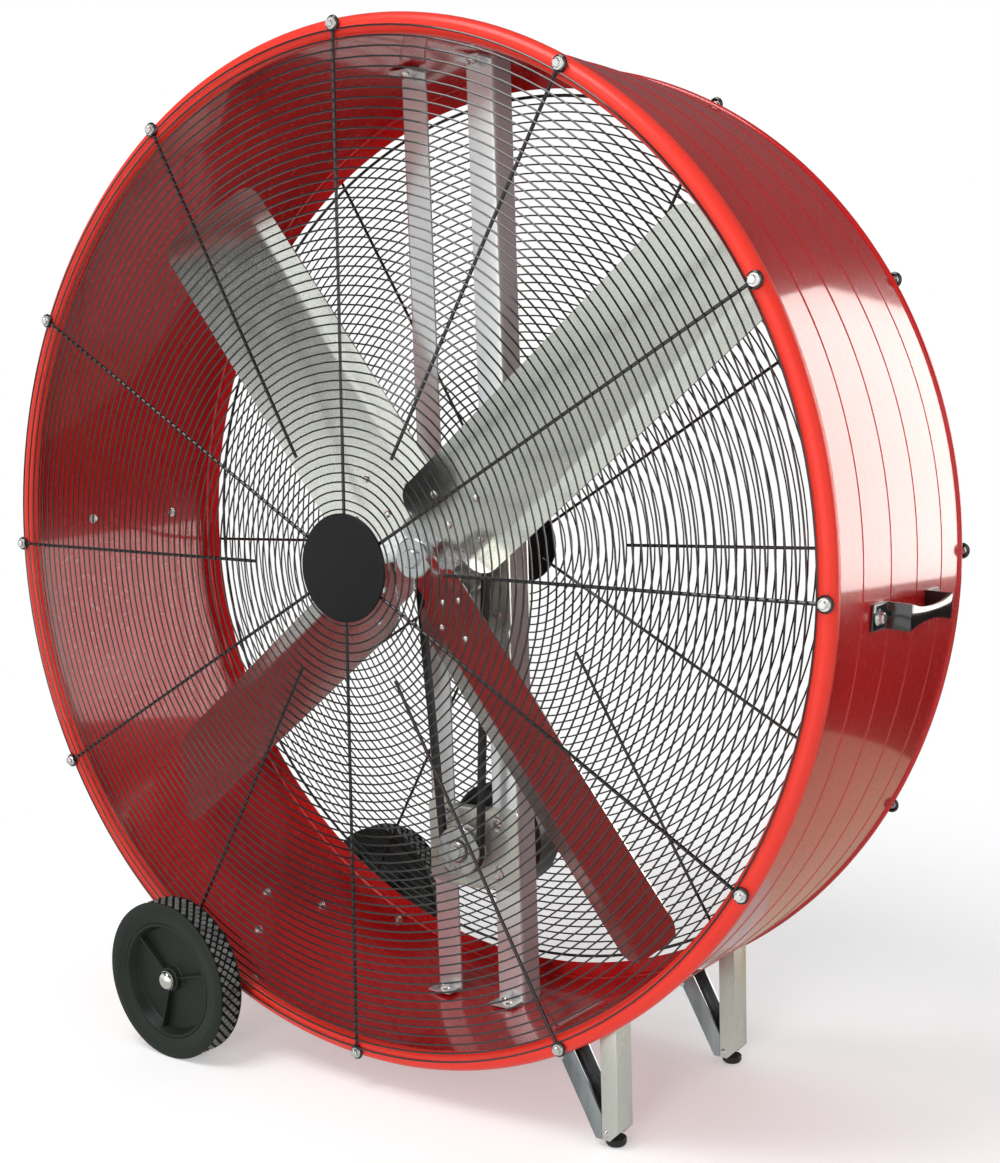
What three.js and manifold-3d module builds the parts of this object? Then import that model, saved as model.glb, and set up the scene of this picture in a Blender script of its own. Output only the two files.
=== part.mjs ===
import * as THREE from "three";
import { mergeVertices } from "three/addons/utils/BufferGeometryUtils.js";
import Module from "manifold-3d";

const wasm = await Module();
wasm.setup();

// A belt-driven drum fan on two wheels and two legs. Lengths are in millimetres and
// angles in degrees. The shaft runs along Y, the front faces -Y, and Z is up. Every
// piece is drawn around the centre of the drum's front edge and the whole is then
// moved so that the origin lies on the floor under the middle of the fan.

// Gaps between pieces.
const seatGap = 0.3;
const runGap = 0.5;

// Drum: a sheet cylinder with a thick roll in front, fine pressed ribs, and a thin roll
// with a flat lip behind.
const drumRadius = 620;
const drumDepth = 364;
const drumWall = 1.6;
const drumSides = 48;
const rimRadius = 12;
const rimReach = 8.7;
const rearRimRadius = 4;
const rearRimReach = 3;
const ribHeight = 1.2;
const ribWidth = 5;
const ribCount = 4;
const ribPitch = 71.5;
const firstRibPlace = 89;
const lipReach = 23;
const lipThickness = 1.6;

// Wire guards: rings in front of radial spokes, six long and six short.
const spokeWire = 5;
const ringWire = 3.6;
const ringsShown = 9;
const firstRingRadius = 76;
const ringMargin = 9;
const ringSides = 24;
const spokePairs = 6;
const longSpokeStart = 40;
const shortSpokeStart = 150;
const spokeEnd = 6;
const ringBite = 1.2;
const frontGuardTurn = 2;

// Cover discs in the middle of the guards.
const frontDiscRadius = 66;
const rearDiscRadius = 54;
const discThickness = 3.2;
const discEdge = 1;

// Struts: two upright angles behind the blades.
const strutFace = 41;
const strutDepth = 38;
const strutSheet = 3;
const strutSpacing = 66;
const strutFront = 233;

// Shaft and its bearings.
const shaftRadius = 12.5;
const shaftFront = 118;
const shaftRear = 296;
const plateSheet = 3;
const plateHeight = 205;
const plateOverhang = 1;
const plateCorner = 8;
const bearingRadius = 40;
const bearingFlange = 5;
const bearingBoss = 24;
const frontBearingLength = 14;
const rearBearingLength = 18;

// Blades and the spider that carries them.
const bladeCount = 4;
const bladeTurn = 53;
const bladePitch = 28;
const edgePitch = 16;
const bladeRoot = 46;
const tipClearance = 45;
const leadWidth = 64.5;
const creaseWidth = 46.5;
const trailWidth = 73;
const bladeMiddle = 131;
const bladeSheet = 2;
const bladeCorner = 26;
const armReach = 142;
const armWidth = 76;
const armSheet = 4;
const armCorner = 20;
const spiderBoss = 27;
const spiderFront = 124;
const spiderRear = 176;

// Belt drive.
const beltPlane = 204.5;
const beltTop = 12.5;
const beltBottom = 7.5;
const beltHeight = 8;
const fanPulleyRadius = 61;
const motorPulleyRadius = 34;
const grooveFoot = 2.5;
const pulleyFlange = 2.5;
const pulleyWeb = 6;
const pulleyHub = 23;
const pulleyHubLength = 20;
const pulleyRimDepth = 8;
const motorPulleyHubLength = 24;

// Motor, hung under the shaft behind the struts.
const motorDrop = 400;
const motorRadius = 75;
const motorLength = 72;
const motorNose = 30;
const motorShaftRadius = 8;
const motorShaftFront = 188;
const motorShaftDepth = 32;
const motorBevel = 9;
const bracketHeight = 112;
const bracketFlange = 14;
const slotLength = 26;
const slotWidth = 9;
const slotSpacing = 84;

// Wheels, axle and its brackets.
const wheelRadius = 108.7;
const wheelWidth = 38;
const wheelSides = 20;
const hubRadius = 80;
const hubDish = 7;
const hubSheet = 5;
const hubBoss = 18;
const hubRibWidth = 6;
const hubRibCount = 3;
const hubRibTurn = 30;
const axleRadius = 9.5;
const axleTurn = 28.7553;
const axleClearance = 1;
const frontWheelGap = 27;
const rearWheelGap = 22;
const axleNutRadius = 13;
const axleNutHeight = 9;
const axleBracketWidth = 34;
const axleBracketWall = 5;
const frontAxleBracketPlace = 62;
const rearAxleBracketPlace = 262;

// Legs and their feet.
const legInset = 268;
const legFlange = 22;
const legWeb = 33;
const legSheet = 3;
const legLean = 27.7;
const legToe = 31;
const legBend = 8;
const frontLegPlace = 41;
const rearLegPlace = 326;
const footRadius = 12.5;
const footHeight = 10;
const footShift = 2;

// Handles.
const handleTurn = 4.5;
const handleMiddle = 202;
const handleLength = 114;
const handleTab = 35;
const handleStandoff = 31;
const handleSheet = 3;
const handleWidth = 29;
const gripWidth = 15;

const radians = THREE.MathUtils.degToRad;
const rimCentre = drumRadius + rimReach - rimRadius;
const rearRimCentre = drumRadius + rearRimReach - rearRimRadius;
const drumInside = drumRadius - drumWall;
const boltCircle = drumRadius;
const lipRadius = drumRadius - lipReach;
const bladeTip = drumRadius - tipClearance;
const lastRingRadius = drumRadius - ringMargin;
const legOuter = drumRadius - legInset;
const halfTurn = 180;

// Ground level: the wheels' lowest point, with the axle just clear of the drum's rims.
const axleDistance = drumRadius + rimReach + axleRadius + axleClearance;
const axleAside = axleDistance * Math.sin(radians(axleTurn));
const axleHeight = -axleDistance * Math.cos(radians(axleTurn));
const ground = axleHeight - wheelRadius;
const legBottom = ground + footHeight + seatGap;
const wheelFront = -frontWheelGap - wheelWidth;
const wheelRear = drumDepth + rearWheelGap + wheelWidth;

// Turns a geometry into a solid that can be joined and cut.
function solid(geometry) {
  const bare = geometry.clone();
  bare.deleteAttribute("normal");
  bare.deleteAttribute("uv");
  const merged = mergeVertices(bare, 1e-3);
  const kept = [];
  const index = merged.index.array;
  for (let i = 0; i < index.length; i += 3) {
    const [a, b, c] = [index[i], index[i + 1], index[i + 2]];
    if (a !== b && b !== c && c !== a) kept.push(a, b, c);
  }
  const vertProperties = merged.attributes.position.array;
  const triVerts = new Uint32Array(kept);
  return new wasm.Manifold(new wasm.Mesh({ numProp: 3, vertProperties, triVerts }));
}

// Turns a solid back into a geometry.
function geometryOf(body) {
  const mesh = body.getMesh();
  const geometry = new THREE.BufferGeometry();
  geometry.setAttribute("position", new THREE.BufferAttribute(mesh.vertProperties, 3));
  geometry.setIndex(new THREE.BufferAttribute(mesh.triVerts, 1));
  const faceted = geometry.toNonIndexed();
  faceted.computeVertexNormals();
  return faceted;
}

function join(first, ...others) {
  return others.reduce((body, other) => body.add(other), first);
}

// A profile of [radius, y] pairs turned about Y. Outer faces run towards +Y.
function turned(profile, sides) {
  const points = profile.map(([radius, y]) => new THREE.Vector2(radius, y));
  return new THREE.LatheGeometry(points, sides);
}

// The same, for a profile that closes on itself.
function turnedLoop(profile, sides) {
  return turned([...profile, profile[0]], sides);
}

function disc(radius, from, to, sides) {
  return turned([[0, from], [radius, from], [radius, to], [0, to]], sides);
}

// An outline in x and z, made `depth` thick from y = `from` on.
function slab(outline, from, depth, curveSegments = 3) {
  const options = { depth, bevelEnabled: false, curveSegments };
  const geometry = new THREE.ExtrudeGeometry(outline, options);
  return geometry.rotateX(Math.PI / 2).translate(0, from + depth, 0);
}

// An outline in x and y, made from z = `from` to z = `to`.
function upright(outline, from, to) {
  const options = { depth: to - from, bevelEnabled: false, curveSegments: 3 };
  return new THREE.ExtrudeGeometry(outline, options).translate(0, 0, from);
}

function polygon(points) {
  return new THREE.Shape(points.map(([x, y]) => new THREE.Vector2(x, y)));
}

// A rectangle with round corners, from its low corner to its high one.
function roundedBox(left, low, right, high, corner) {
  const shape = new THREE.Shape();
  const quarter = Math.PI / 2;
  shape.absarc(right - corner, low + corner, corner, -quarter, 0, false);
  shape.absarc(right - corner, high - corner, corner, 0, quarter, false);
  shape.absarc(left + corner, high - corner, corner, quarter, Math.PI, false);
  shape.absarc(left + corner, low + corner, corner, Math.PI, 3 * quarter, false);
  return shape;
}

function roundHole(x, y, radius) {
  const hole = new THREE.Path();
  hole.absarc(x, y, radius, 0, 2 * Math.PI, true);
  return hole;
}

// An upright slot with round ends.
function slotHole(x, y, length, width) {
  const hole = new THREE.Path();
  const reach = (length - width) / 2;
  hole.absarc(x, y + reach, width / 2, 0, Math.PI, false);
  hole.absarc(x, y - reach, width / 2, Math.PI, 2 * Math.PI, false);
  return hole;
}

// Points on a circle in the plane of a profile, from one angle to another.
function arc(centre, radius, start, end, steps) {
  const points = [];
  for (let i = 0; i <= steps; i += 1) {
    const angle = radians(start + ((end - start) * i) / steps);
    points.push([centre[0] + radius * Math.cos(angle), centre[1] + radius * Math.sin(angle)]);
  }
  return points;
}

const galvanised = { color: 0xb9bdb8, roughness: 0.35, metalness: 0.9 };
const finishes = {
  drumPaint: { color: 0xa01414, roughness: 0.25, metalness: 0.3 },
  wire: { color: 0x141414, roughness: 0.4, metalness: 0.4 },
  blackCover: { color: 0x121212, roughness: 0.35, metalness: 0 },
  strutZinc: galvanised,
  bladeSheet: { color: 0x9b9d9a, roughness: 0.28, metalness: 0.95 },
  steel: { color: 0x8f9294, roughness: 0.35, metalness: 0.9 },
  belt: { color: 0x101010, roughness: 0.8, metalness: 0 },
  motorPaint: { color: 0x1b1c1e, roughness: 0.5, metalness: 0.2 },
  tyre: { color: 0x161616, roughness: 0.85, metalness: 0 },
  wheelPlastic: { color: 0x1c1e1f, roughness: 0.55, metalness: 0 },
  chrome: { color: 0xd9dadb, roughness: 0.12, metalness: 1 },
  handlePaint: { color: 0x0c0c0c, roughness: 0.25, metalness: 0.2 },
  rubber: { color: 0x111111, roughness: 0.9, metalness: 0 },
};

function piece(name, shape, finish) {
  const geometry = shape.isBufferGeometry ? shape : geometryOf(shape);
  const mesh = new THREE.Mesh(geometry, new THREE.MeshStandardMaterial(finishes[finish]));
  mesh.name = name;
  return mesh;
}

// The bead's centre as an angle: where a wall `out` from the bead's centre leaves it.
// The angle at which a rim's circle meets the wall.
function beadAngle(wallRadius, centre, radius) {
  return THREE.MathUtils.radToDeg(Math.acos((wallRadius - centre) / radius));
}

// The wall's outside, from front to back, with its ribs.
function ribbedWall(radius) {
  const places = [];
  for (let i = 0; i < ribCount; i += 1) places.push(firstRibPlace + i * ribPitch);
  return places.flatMap((place) => [
    [radius, place - ribWidth / 2],
    [radius + ribHeight, place],
    [radius, place + ribWidth / 2],
  ]);
}

function drum() {
  const outer = beadAngle(drumRadius, rimCentre, rimRadius);
  const inner = beadAngle(drumInside, rimCentre, rimRadius);
  const rearOuter = beadAngle(drumRadius, rearRimCentre, rearRimRadius);
  const rearInner = beadAngle(drumInside, rearRimCentre, rearRimRadius);
  const front = [rimCentre, rimRadius];
  const rear = [rearRimCentre, drumDepth - rearRimRadius];
  const lipFront = drumDepth - lipThickness;
  const profile = [
    ...arc(front, rimRadius, inner, 360 + outer, 6),
    ...ribbedWall(drumRadius),
    ...arc(rear, rearRimRadius, -rearOuter, 90, 3),
    [lipRadius, drumDepth],
    [lipRadius, lipFront],
    [rearRimCentre - rearRimRadius, lipFront],
    ...arc(rear, rearRimRadius, 180, 360 - rearInner, 1),
  ];
  return turnedLoop(profile, drumSides);
}

// The space inside the drum's outer surface, grown by a gap, for trimming what seats on it.
function drumEnvelope(gap) {
  const wall = drumRadius + gap;
  const bead = rimRadius + gap;
  const rearBead = rearRimRadius + gap;
  const front = [rimCentre, rimRadius];
  const rear = [rearRimCentre, drumDepth - rearRimRadius];
  const profile = [
    [0, -gap],
    ...arc(front, bead, -90, beadAngle(wall, rimCentre, bead), 12),
    ...ribbedWall(wall),
    ...arc(rear, rearBead, -beadAngle(wall, rearRimCentre, rearBead), 90, 6),
    [0, drumDepth + gap],
  ];
  return solid(turned(profile, drumSides));
}

// The room inside the drum's wall, shrunk by a gap, for trimming what fits in it.
function drumRoom(gap) {
  return solid(disc(drumInside - gap, 0, drumDepth, drumSides));
}

// One guard with its rings towards -Y and its spokes behind them, from y = 0 on.
function guard() {
  const ringApex = ringBite;
  const ringFace = ringApex - ringWire;
  const rings = [];
  for (let i = 0; i < ringsShown; i += 1) {
    const share = i / (ringsShown - 1);
    const radius = firstRingRadius + share * (lastRingRadius - firstRingRadius);
    const half = ringWire / 2;
    const profile = [[radius - half, ringFace], [radius + half, ringFace], [radius, ringApex]];
    rings.push(solid(turnedLoop(profile, ringSides).rotateY(Math.PI / ringSides)));
  }
  const spokes = [];
  for (let i = 0; i < 2 * spokePairs; i += 1) {
    const start = i % 2 ? shortSpokeStart : longSpokeStart;
    const bar = new THREE.BoxGeometry(spokeWire, spokeWire, boltCircle + spokeEnd - start);
    bar.translate(0, spokeWire / 2, (start + boltCircle + spokeEnd) / 2);
    bar.rotateY((i * Math.PI) / spokePairs);
    spokes.push(solid(bar));
  }
  return join(...rings, ...spokes);
}

function coverDisc(radius) {
  const profile = [
    [0, 0],
    [radius - discEdge, 0],
    [radius, discEdge],
    [radius, discThickness],
    [0, discThickness],
  ];
  return turned(profile, 24);
}

// An upright angle: its face to the front, its leg on the outer side, cut to the drum.
function strut(side) {
  const inner = strutSpacing / 2;
  const outer = inner + strutFace;
  const rear = strutFront + strutDepth;
  const outline = polygon([
    [side * inner, strutFront],
    [side * outer, strutFront],
    [side * outer, rear],
    [side * (outer - strutSheet), rear],
    [side * (outer - strutSheet), strutFront + strutSheet],
    [side * inner, strutFront + strutSheet],
  ]);
  const bar = solid(upright(outline, -drumRadius, drumRadius));
  return bar.intersect(drumRoom(seatGap));
}

// A plate across both struts with a round hole for what passes through it.
function crossPlate(low, high, from, hole, slots) {
  const half = strutSpacing / 2 + strutFace + plateOverhang;
  const outline = roundedBox(-half, low, half, high, plateCorner);
  outline.holes.push(hole, ...slots);
  return slab(outline, from, plateSheet, 4);
}

const frontPlateFace = strutFront - seatGap - plateSheet;
const rearPlateFace = strutFront + strutDepth + seatGap;

function bearingPlate(from) {
  const hole = roundHole(0, 0, shaftRadius + 4);
  return crossPlate(-plateHeight / 2, plateHeight / 2, from, hole, []);
}

// A flanged bearing housing: the flange at y = 0, the boss reaching `length` behind it.
function bearing(length) {
  const bore = shaftRadius + runGap;
  const profile = [
    [bore, 0],
    [bearingRadius, 0],
    [bearingRadius, bearingFlange],
    [bearingBoss, bearingFlange + 2],
    [bearingBoss - 2, length],
    [bore, length],
  ];
  return turnedLoop(profile, 20);
}

function shaft() {
  const bevel = 1.5;
  const profile = [
    [0, shaftFront],
    [shaftRadius - bevel, shaftFront],
    [shaftRadius, shaftFront + bevel],
    [shaftRadius, shaftRear],
    [0, shaftRear],
  ];
  return turned(profile, 20);
}

// How far behind the blade's middle its sheet lies at a place across its width.
function bladeLine(across) {
  const slope = Math.tan(radians(bladePitch));
  if (across <= creaseWidth) return bladeMiddle + across * slope;
  const edge = Math.tan(radians(edgePitch));
  return bladeMiddle + creaseWidth * slope + (across - creaseWidth) * edge;
}

// A strip that follows the blade's sheet, `offset` behind it, for an upright blade.
function sheetStrip(places, offset, thickness, from, to) {
  const stretch = 1 / Math.cos(radians(bladePitch));
  const front = places.map((x) => [x, bladeLine(x) + offset * stretch]);
  const back = front.map(([x, y]) => [x, y + thickness * stretch]).reverse();
  return solid(upright(polygon([...front, ...back]), from, to));
}

// An upright blade: sheet creased near its trailing edge, with round corners.
function blade() {
  const places = [-leadWidth, creaseWidth, trailWidth];
  const sheet = sheetStrip(places, 0, bladeSheet, bladeRoot, bladeTip);
  const outline = roundedBox(-leadWidth, bladeRoot, trailWidth, bladeTip, bladeCorner);
  const reach = leadWidth + trailWidth;
  return sheet.intersect(solid(slab(outline, bladeMiddle - reach, 2 * reach)));
}

// The spider: a boss with one sloping arm behind each blade.
function spider() {
  const half = armWidth / 2;
  const outline = new THREE.Shape();
  outline.moveTo(-half, 0);
  outline.lineTo(half, 0);
  outline.absarc(half - armCorner, armReach - armCorner, armCorner, 0, Math.PI / 2, false);
  outline.absarc(armCorner - half, armReach - armCorner, armCorner, Math.PI / 2, Math.PI, false);
  const mask = solid(slab(outline, bladeMiddle - armWidth, 2 * armWidth, 2));
  const offset = bladeSheet + seatGap;
  const arm = sheetStrip([-half, half], offset, armSheet, 0, armReach).intersect(mask);
  const arms = [];
  for (let i = 0; i < bladeCount; i += 1) {
    arms.push(arm.rotate([0, bladeTurn + (i * 360) / bladeCount, 0]));
  }
  const boss = solid(disc(spiderBoss, spiderFront, spiderRear, 20));
  const bore = solid(disc(shaftRadius + seatGap, spiderFront - 1, spiderRear + 1, 20));
  return join(boss, ...arms).subtract(bore);
}

// A grooved pulley around y = 0 on a shaft, with its web behind the groove.
function pulley(radius, shaftSize, hubSize, hubLength, webSheet) {
  const bore = shaftSize + seatGap;
  const groove = beltHeight + grooveFoot;
  const slope = (beltTop - beltBottom) / 2 / beltHeight;
  const top = beltTop / 2 + 0.4;
  const foot = top - slope * groove;
  const rim = top + pulleyFlange;
  const inner = Math.max(radius - groove - pulleyRimDepth, hubSize + 2);
  const profile = [
    [bore, rim - hubLength],
    [hubSize, rim - hubLength],
    [hubSize, rim - webSheet],
    [inner, rim - webSheet],
    [inner, -rim],
    [radius, -rim],
    [radius, -top],
    [radius - groove, -foot],
    [radius - groove, foot],
    [radius, top],
    [radius, rim],
    [bore, rim],
  ];
  return turnedLoop(profile, 20);
}

// Where a belt round both pulleys runs, as points with their outward directions.
function beltRoute(large, small, drop) {
  const lean = THREE.MathUtils.radToDeg(Math.asin((large - small) / drop));
  const route = [];
  const steps = 15;
  for (let i = 0; i <= steps; i += 1) {
    const angle = radians(-lean + ((halfTurn + 2 * lean) * i) / steps);
    route.push({ x: 0, z: 0, radius: large, angle });
  }
  for (let i = 0; i <= steps; i += 1) {
    const angle = radians(halfTurn + lean + ((halfTurn - 2 * lean) * i) / steps);
    route.push({ x: 0, z: -drop, radius: small, angle });
  }
  return route;
}

// The V-belt, one closed band with a wedge section.
function belt() {
  const large = fanPulleyRadius - beltHeight;
  const small = motorPulleyRadius - beltHeight;
  const route = beltRoute(large, small, motorDrop);
  const section = [
    [0, -beltBottom / 2],
    [beltHeight, -beltTop / 2],
    [beltHeight, beltTop / 2],
    [0, beltBottom / 2],
  ];
  const corners = [];
  for (const { x, z, radius, angle } of route) {
    for (const [out, y] of section) {
      const reach = radius + out;
      corners.push(x + reach * Math.cos(angle), beltPlane + y, z + reach * Math.sin(angle));
    }
  }
  const faces = [];
  const across = section.length;
  const stations = route.length;
  for (let i = 0; i < stations; i += 1) {
    const next = (i + 1) % stations;
    for (let j = 0; j < across; j += 1) {
      const side = (j + 1) % across;
      const a = i * across + j;
      const b = i * across + side;
      const c = next * across + side;
      const d = next * across + j;
      faces.push(a, b, c, a, c, d);
    }
  }
  const geometry = new THREE.BufferGeometry();
  geometry.setAttribute("position", new THREE.Float32BufferAttribute(corners, 3));
  geometry.setIndex(faces);
  return geometry;
}

const motorFront = strutFront + seatGap;
const motorBodyFront = rearPlateFace;

// The motor: a nose between the struts and a round body behind them.
function motor() {
  const rear = motorBodyFront + motorLength;
  const bore = motorShaftRadius + runGap;
  const pocket = motorFront + motorShaftDepth;
  const profile = [
    [0, pocket],
    [bore, pocket],
    [bore, motorFront],
    [motorNose, motorFront],
    [motorNose, motorBodyFront],
    [motorRadius - motorBevel, motorBodyFront],
    [motorRadius, motorBodyFront + motorBevel],
    [motorRadius, rear - motorBevel],
    [motorRadius - motorBevel, rear],
    [0, rear],
  ];
  return turned(profile, 24);
}

function motorShaft() {
  const rear = motorFront + motorShaftDepth - seatGap;
  return disc(motorShaftRadius, motorShaftFront, rear, 16);
}

// The motor's mounting plate: slots for tightening the belt, a lip above and below.
function motorBracket() {
  const half = bracketHeight / 2;
  const hole = roundHole(0, 0, motorShaftRadius + 6);
  const slots = [-1, 1].flatMap((side) =>
    [-1, 1].map((level) => {
      const height = level * (half - slotLength / 2 - plateCorner);
      return slotHole((side * slotSpacing) / 2, height, slotLength, slotWidth);
    }),
  );
  const plate = solid(crossPlate(-half, half, frontPlateFace, hole, slots));
  const wide = strutSpacing - 2 * seatGap;
  const lips = [-1, 1].map((level) => {
    const lip = new THREE.BoxGeometry(wide, bracketFlange, plateSheet);
    const place = frontPlateFace + plateSheet - bracketFlange / 2;
    return solid(lip.translate(0, place, level * (half - plateSheet / 2)));
  });
  return join(plate, ...lips);
}

// A tyre with a slightly crowned tread, centred on y = 0.
function tyre() {
  const half = wheelWidth / 2;
  const profile = [
    [hubRadius, -half + 4],
    [hubRadius + 6, -half + 1],
    [wheelRadius - 7, -half],
    [wheelRadius, -half + 6],
    [wheelRadius, half - 6],
    [wheelRadius - 7, half],
    [hubRadius + 6, half - 1],
    [hubRadius, half - 4],
  ];
  return turnedLoop(profile, wheelSides);
}

// The dished wheel disc: hub tube, web, rim band and ribs on both faces.
function wheelDisc() {
  const half = wheelWidth / 2;
  const bore = axleRadius + runGap;
  const band = hubRadius - seatGap;
  const web = hubSheet / 2;
  const boss = half - hubDish;
  const profile = [
    [bore, -boss],
    [hubBoss, -boss],
    [hubBoss, -web],
    [band - hubSheet, -web],
    [band - hubSheet, -half + 2],
    [band, -half + 4],
    [band, half - 4],
    [band - hubSheet, half - 2],
    [band - hubSheet, web],
    [hubBoss, web],
    [hubBoss, boss],
    [bore, boss],
  ];
  const ribs = [];
  const length = band - hubSheet - hubBoss + 4;
  for (let i = 0; i < hubRibCount; i += 1) {
    const rib = new THREE.BoxGeometry(hubRibWidth, 2 * (boss - 3), length);
    rib.translate(0, 0, hubBoss - 2 + length / 2);
    rib.rotateY(radians(hubRibTurn + (i * 360) / hubRibCount));
    ribs.push(solid(rib));
  }
  return join(solid(turnedLoop(profile, wheelSides)), ...ribs);
}

const axleFront = wheelFront + hubDish - 2;
const axleRear = wheelRear - hubDish + 2;

function axle() {
  return disc(axleRadius, axleFront, axleRear, 24);
}

// A domed nut, its flat side at y = 0 and its dome towards -Y.
function domeNut() {
  const profile = [
    [0, -axleNutHeight],
    [axleNutRadius * 0.6, -axleNutHeight * 0.85],
    [axleNutRadius * 0.9, -axleNutHeight * 0.45],
    [axleNutRadius, 0],
    [0, 0],
  ];
  return turned(profile, 16);
}

// A saddle block between the drum's wall and the axle, for an axle straight below.
function axleBracket(place) {
  const shell = axleRadius + axleBracketWall;
  const foot = 2.4 * shell;
  const outline = new THREE.Shape();
  outline.moveTo(-foot, -drumRadius + 20);
  outline.lineTo(-foot, -drumRadius - 5);
  outline.lineTo(-shell, -axleDistance);
  outline.absarc(0, -axleDistance, shell, Math.PI, 2 * Math.PI, false);
  outline.lineTo(foot, -drumRadius - 5);
  outline.lineTo(foot, -drumRadius + 20);
  outline.holes.push(roundHole(0, -axleDistance, axleRadius + seatGap));
  const block = slab(outline, place, axleBracketWidth, 9).rotateY(radians(axleTurn));
  return solid(block).subtract(drumEnvelope(seatGap));
}

// The leg: a channel folded into a V, its web outside, cut to the drum's underside.
function leg(place) {
  const lean = radians(legLean);
  const outerTop = -drumRadius * 0.5;
  const rise = outerTop - legBottom;
  const toe = legOuter - legToe;
  const slant = [-Math.sin(lean), Math.cos(lean)];
  const inward = [Math.cos(lean), Math.sin(lean)];
  const outline = (web, flange) => {
    const right = legOuter - web;
    const free = legOuter - flange;
    const foot = [toe + web * inward[0], legBottom + web * inward[1]];
    const slide = (legBottom + web - foot[1]) / slant[1];
    const left = [foot[0] + slide * slant[0], legBottom + web];
    const along = rise / slant[1];
    const top = [left[0] + along * slant[0], left[1] + along * slant[1]];
    const inner = [toe + flange * inward[0], legBottom + flange * inward[1]];
    const meet = (inner[0] - free) / -slant[0];
    const fork = [free, inner[1] + meet * slant[1]];
    const far = [inner[0] + along * slant[0], inner[1] + along * slant[1]];
    return polygon([
      [right, outerTop],
      [free, outerTop],
      fork,
      far,
      top,
      left,
      [right - legBend, legBottom + web],
      [right, legBottom + web + legBend],
    ]);
  };
  const low = place - legWeb / 2;
  const channel = solid(slab(outline(0, legFlange), low, legWeb));
  const inside = slab(outline(legSheet, legFlange + 1), low + legSheet, legWeb - 2 * legSheet);
  return channel.subtract(solid(inside)).subtract(drumEnvelope(seatGap));
}

function foot() {
  const round = 2;
  const profile = [
    [0, 0],
    [footRadius - round, 0],
    [footRadius, round],
    [footRadius, footHeight],
    [0, footHeight],
  ];
  return turned(profile, 16).rotateX(Math.PI / 2);
}

// A handle for the right side, before it is turned to its place: a bent strap with two
// tabs on the drum and a grip with its edges drawn in.
function handle(turn) {
  const half = handleLength / 2;
  const low = drumRadius - 6;
  const high = drumRadius + handleStandoff;
  const sheet = handleSheet;
  const strap = polygon([
    [low, -half - handleTab],
    [drumRadius + sheet, -half - handleTab],
    [drumRadius + sheet, -half - sheet],
    [high, -half - sheet],
    [high, half + sheet],
    [drumRadius + sheet, half + sheet],
    [drumRadius + sheet, half + handleTab],
    [low, half + handleTab],
    [low, half],
    [high - sheet, half],
    [high - sheet, -half],
    [low, -half],
  ]);
  const side = solid(upright(strap, -handleWidth / 2, handleWidth / 2));
  const wide = handleWidth / 2 + 1;
  const narrow = gripWidth / 2;
  const taper = 0.45 * half;
  const end = half + handleTab + 1;
  const outline = polygon([
    [-wide, -end],
    [wide, -end],
    [wide, -half],
    [narrow, -half + taper],
    [narrow, half - taper],
    [wide, half],
    [wide, end],
    [-wide, end],
    [-wide, half],
    [-narrow, half - taper],
    [-narrow, -half + taper],
    [-wide, -half],
  ]);
  const face = upright(outline, low - 1, high + 1).rotateY(Math.PI / 2);
  const strip = side.intersect(solid(face));
  return geometryOf(strip).rotateY(radians(turn)).translate(0, handleMiddle, 0);
}

function seatedHandle(turn) {
  return solid(handle(turn)).subtract(drumEnvelope(seatGap));
}

function at(object, x, y, z) {
  object.position.set(x, y, z);
  return object;
}

function group(...children) {
  return new THREE.Group().add(...children);
}

function drumPieces() {
  return group(
    piece("drum", drum(), "drumPaint"),
    piece("strut_left", strut(-1), "strutZinc"),
    piece("strut_right", strut(1), "strutZinc"),
    piece("handle_right", seatedHandle(handleTurn), "handlePaint"),
    piece("handle_left", seatedHandle(halfTurn + handleTurn), "handlePaint"),
  );
}

// Guards lie just clear of the rims, the rear one turned to face backwards.
function guardPieces() {
  const frontGuard = piece("front_guard", guard(), "wire");
  const frontDisc = piece("front_disc", coverDisc(frontDiscRadius), "blackCover");
  const front = group(frontGuard, at(frontDisc, 0, -seatGap - discThickness, 0));
  front.rotation.y = radians(frontGuardTurn);
  const rearGuard = piece("rear_guard", guard(), "wire");
  const rearDisc = piece("rear_disc", coverDisc(rearDiscRadius), "blackCover");
  const rear = group(rearGuard, at(rearDisc, 0, -seatGap - discThickness, 0));
  rear.rotation.z = Math.PI;
  return group(
    at(front, 0, -seatGap - spokeWire, 0),
    at(rear, 0, drumDepth + seatGap + spokeWire, 0),
  );
}

function bearingPieces() {
  const front = piece("front_bearing", bearing(frontBearingLength), "steel");
  front.rotation.z = Math.PI;
  return group(
    piece("front_bearing_plate", bearingPlate(frontPlateFace), "strutZinc"),
    piece("rear_bearing_plate", bearingPlate(rearPlateFace), "strutZinc"),
    at(front, 0, frontPlateFace - seatGap, 0),
    at(
      piece("rear_bearing", bearing(rearBearingLength), "steel"),
      0,
      rearPlateFace + plateSheet + seatGap,
      0,
    ),
  );
}

function rotor() {
  const turning = group(
    piece("shaft", shaft(), "steel"),
    piece("spider", spider(), "steel"),
  );
  for (let i = 0; i < bladeCount; i += 1) {
    const sheet = piece(`blade_${i + 1}`, blade(), "bladeSheet");
    sheet.rotation.y = radians(bladeTurn + (i * 360) / bladeCount);
    turning.add(sheet);
  }
  const wheel = pulley(fanPulleyRadius, shaftRadius, pulleyHub, pulleyHubLength, pulleyWeb);
  turning.add(at(piece("fan_pulley", wheel, "steel"), 0, beltPlane, 0));
  return turning;
}

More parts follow.
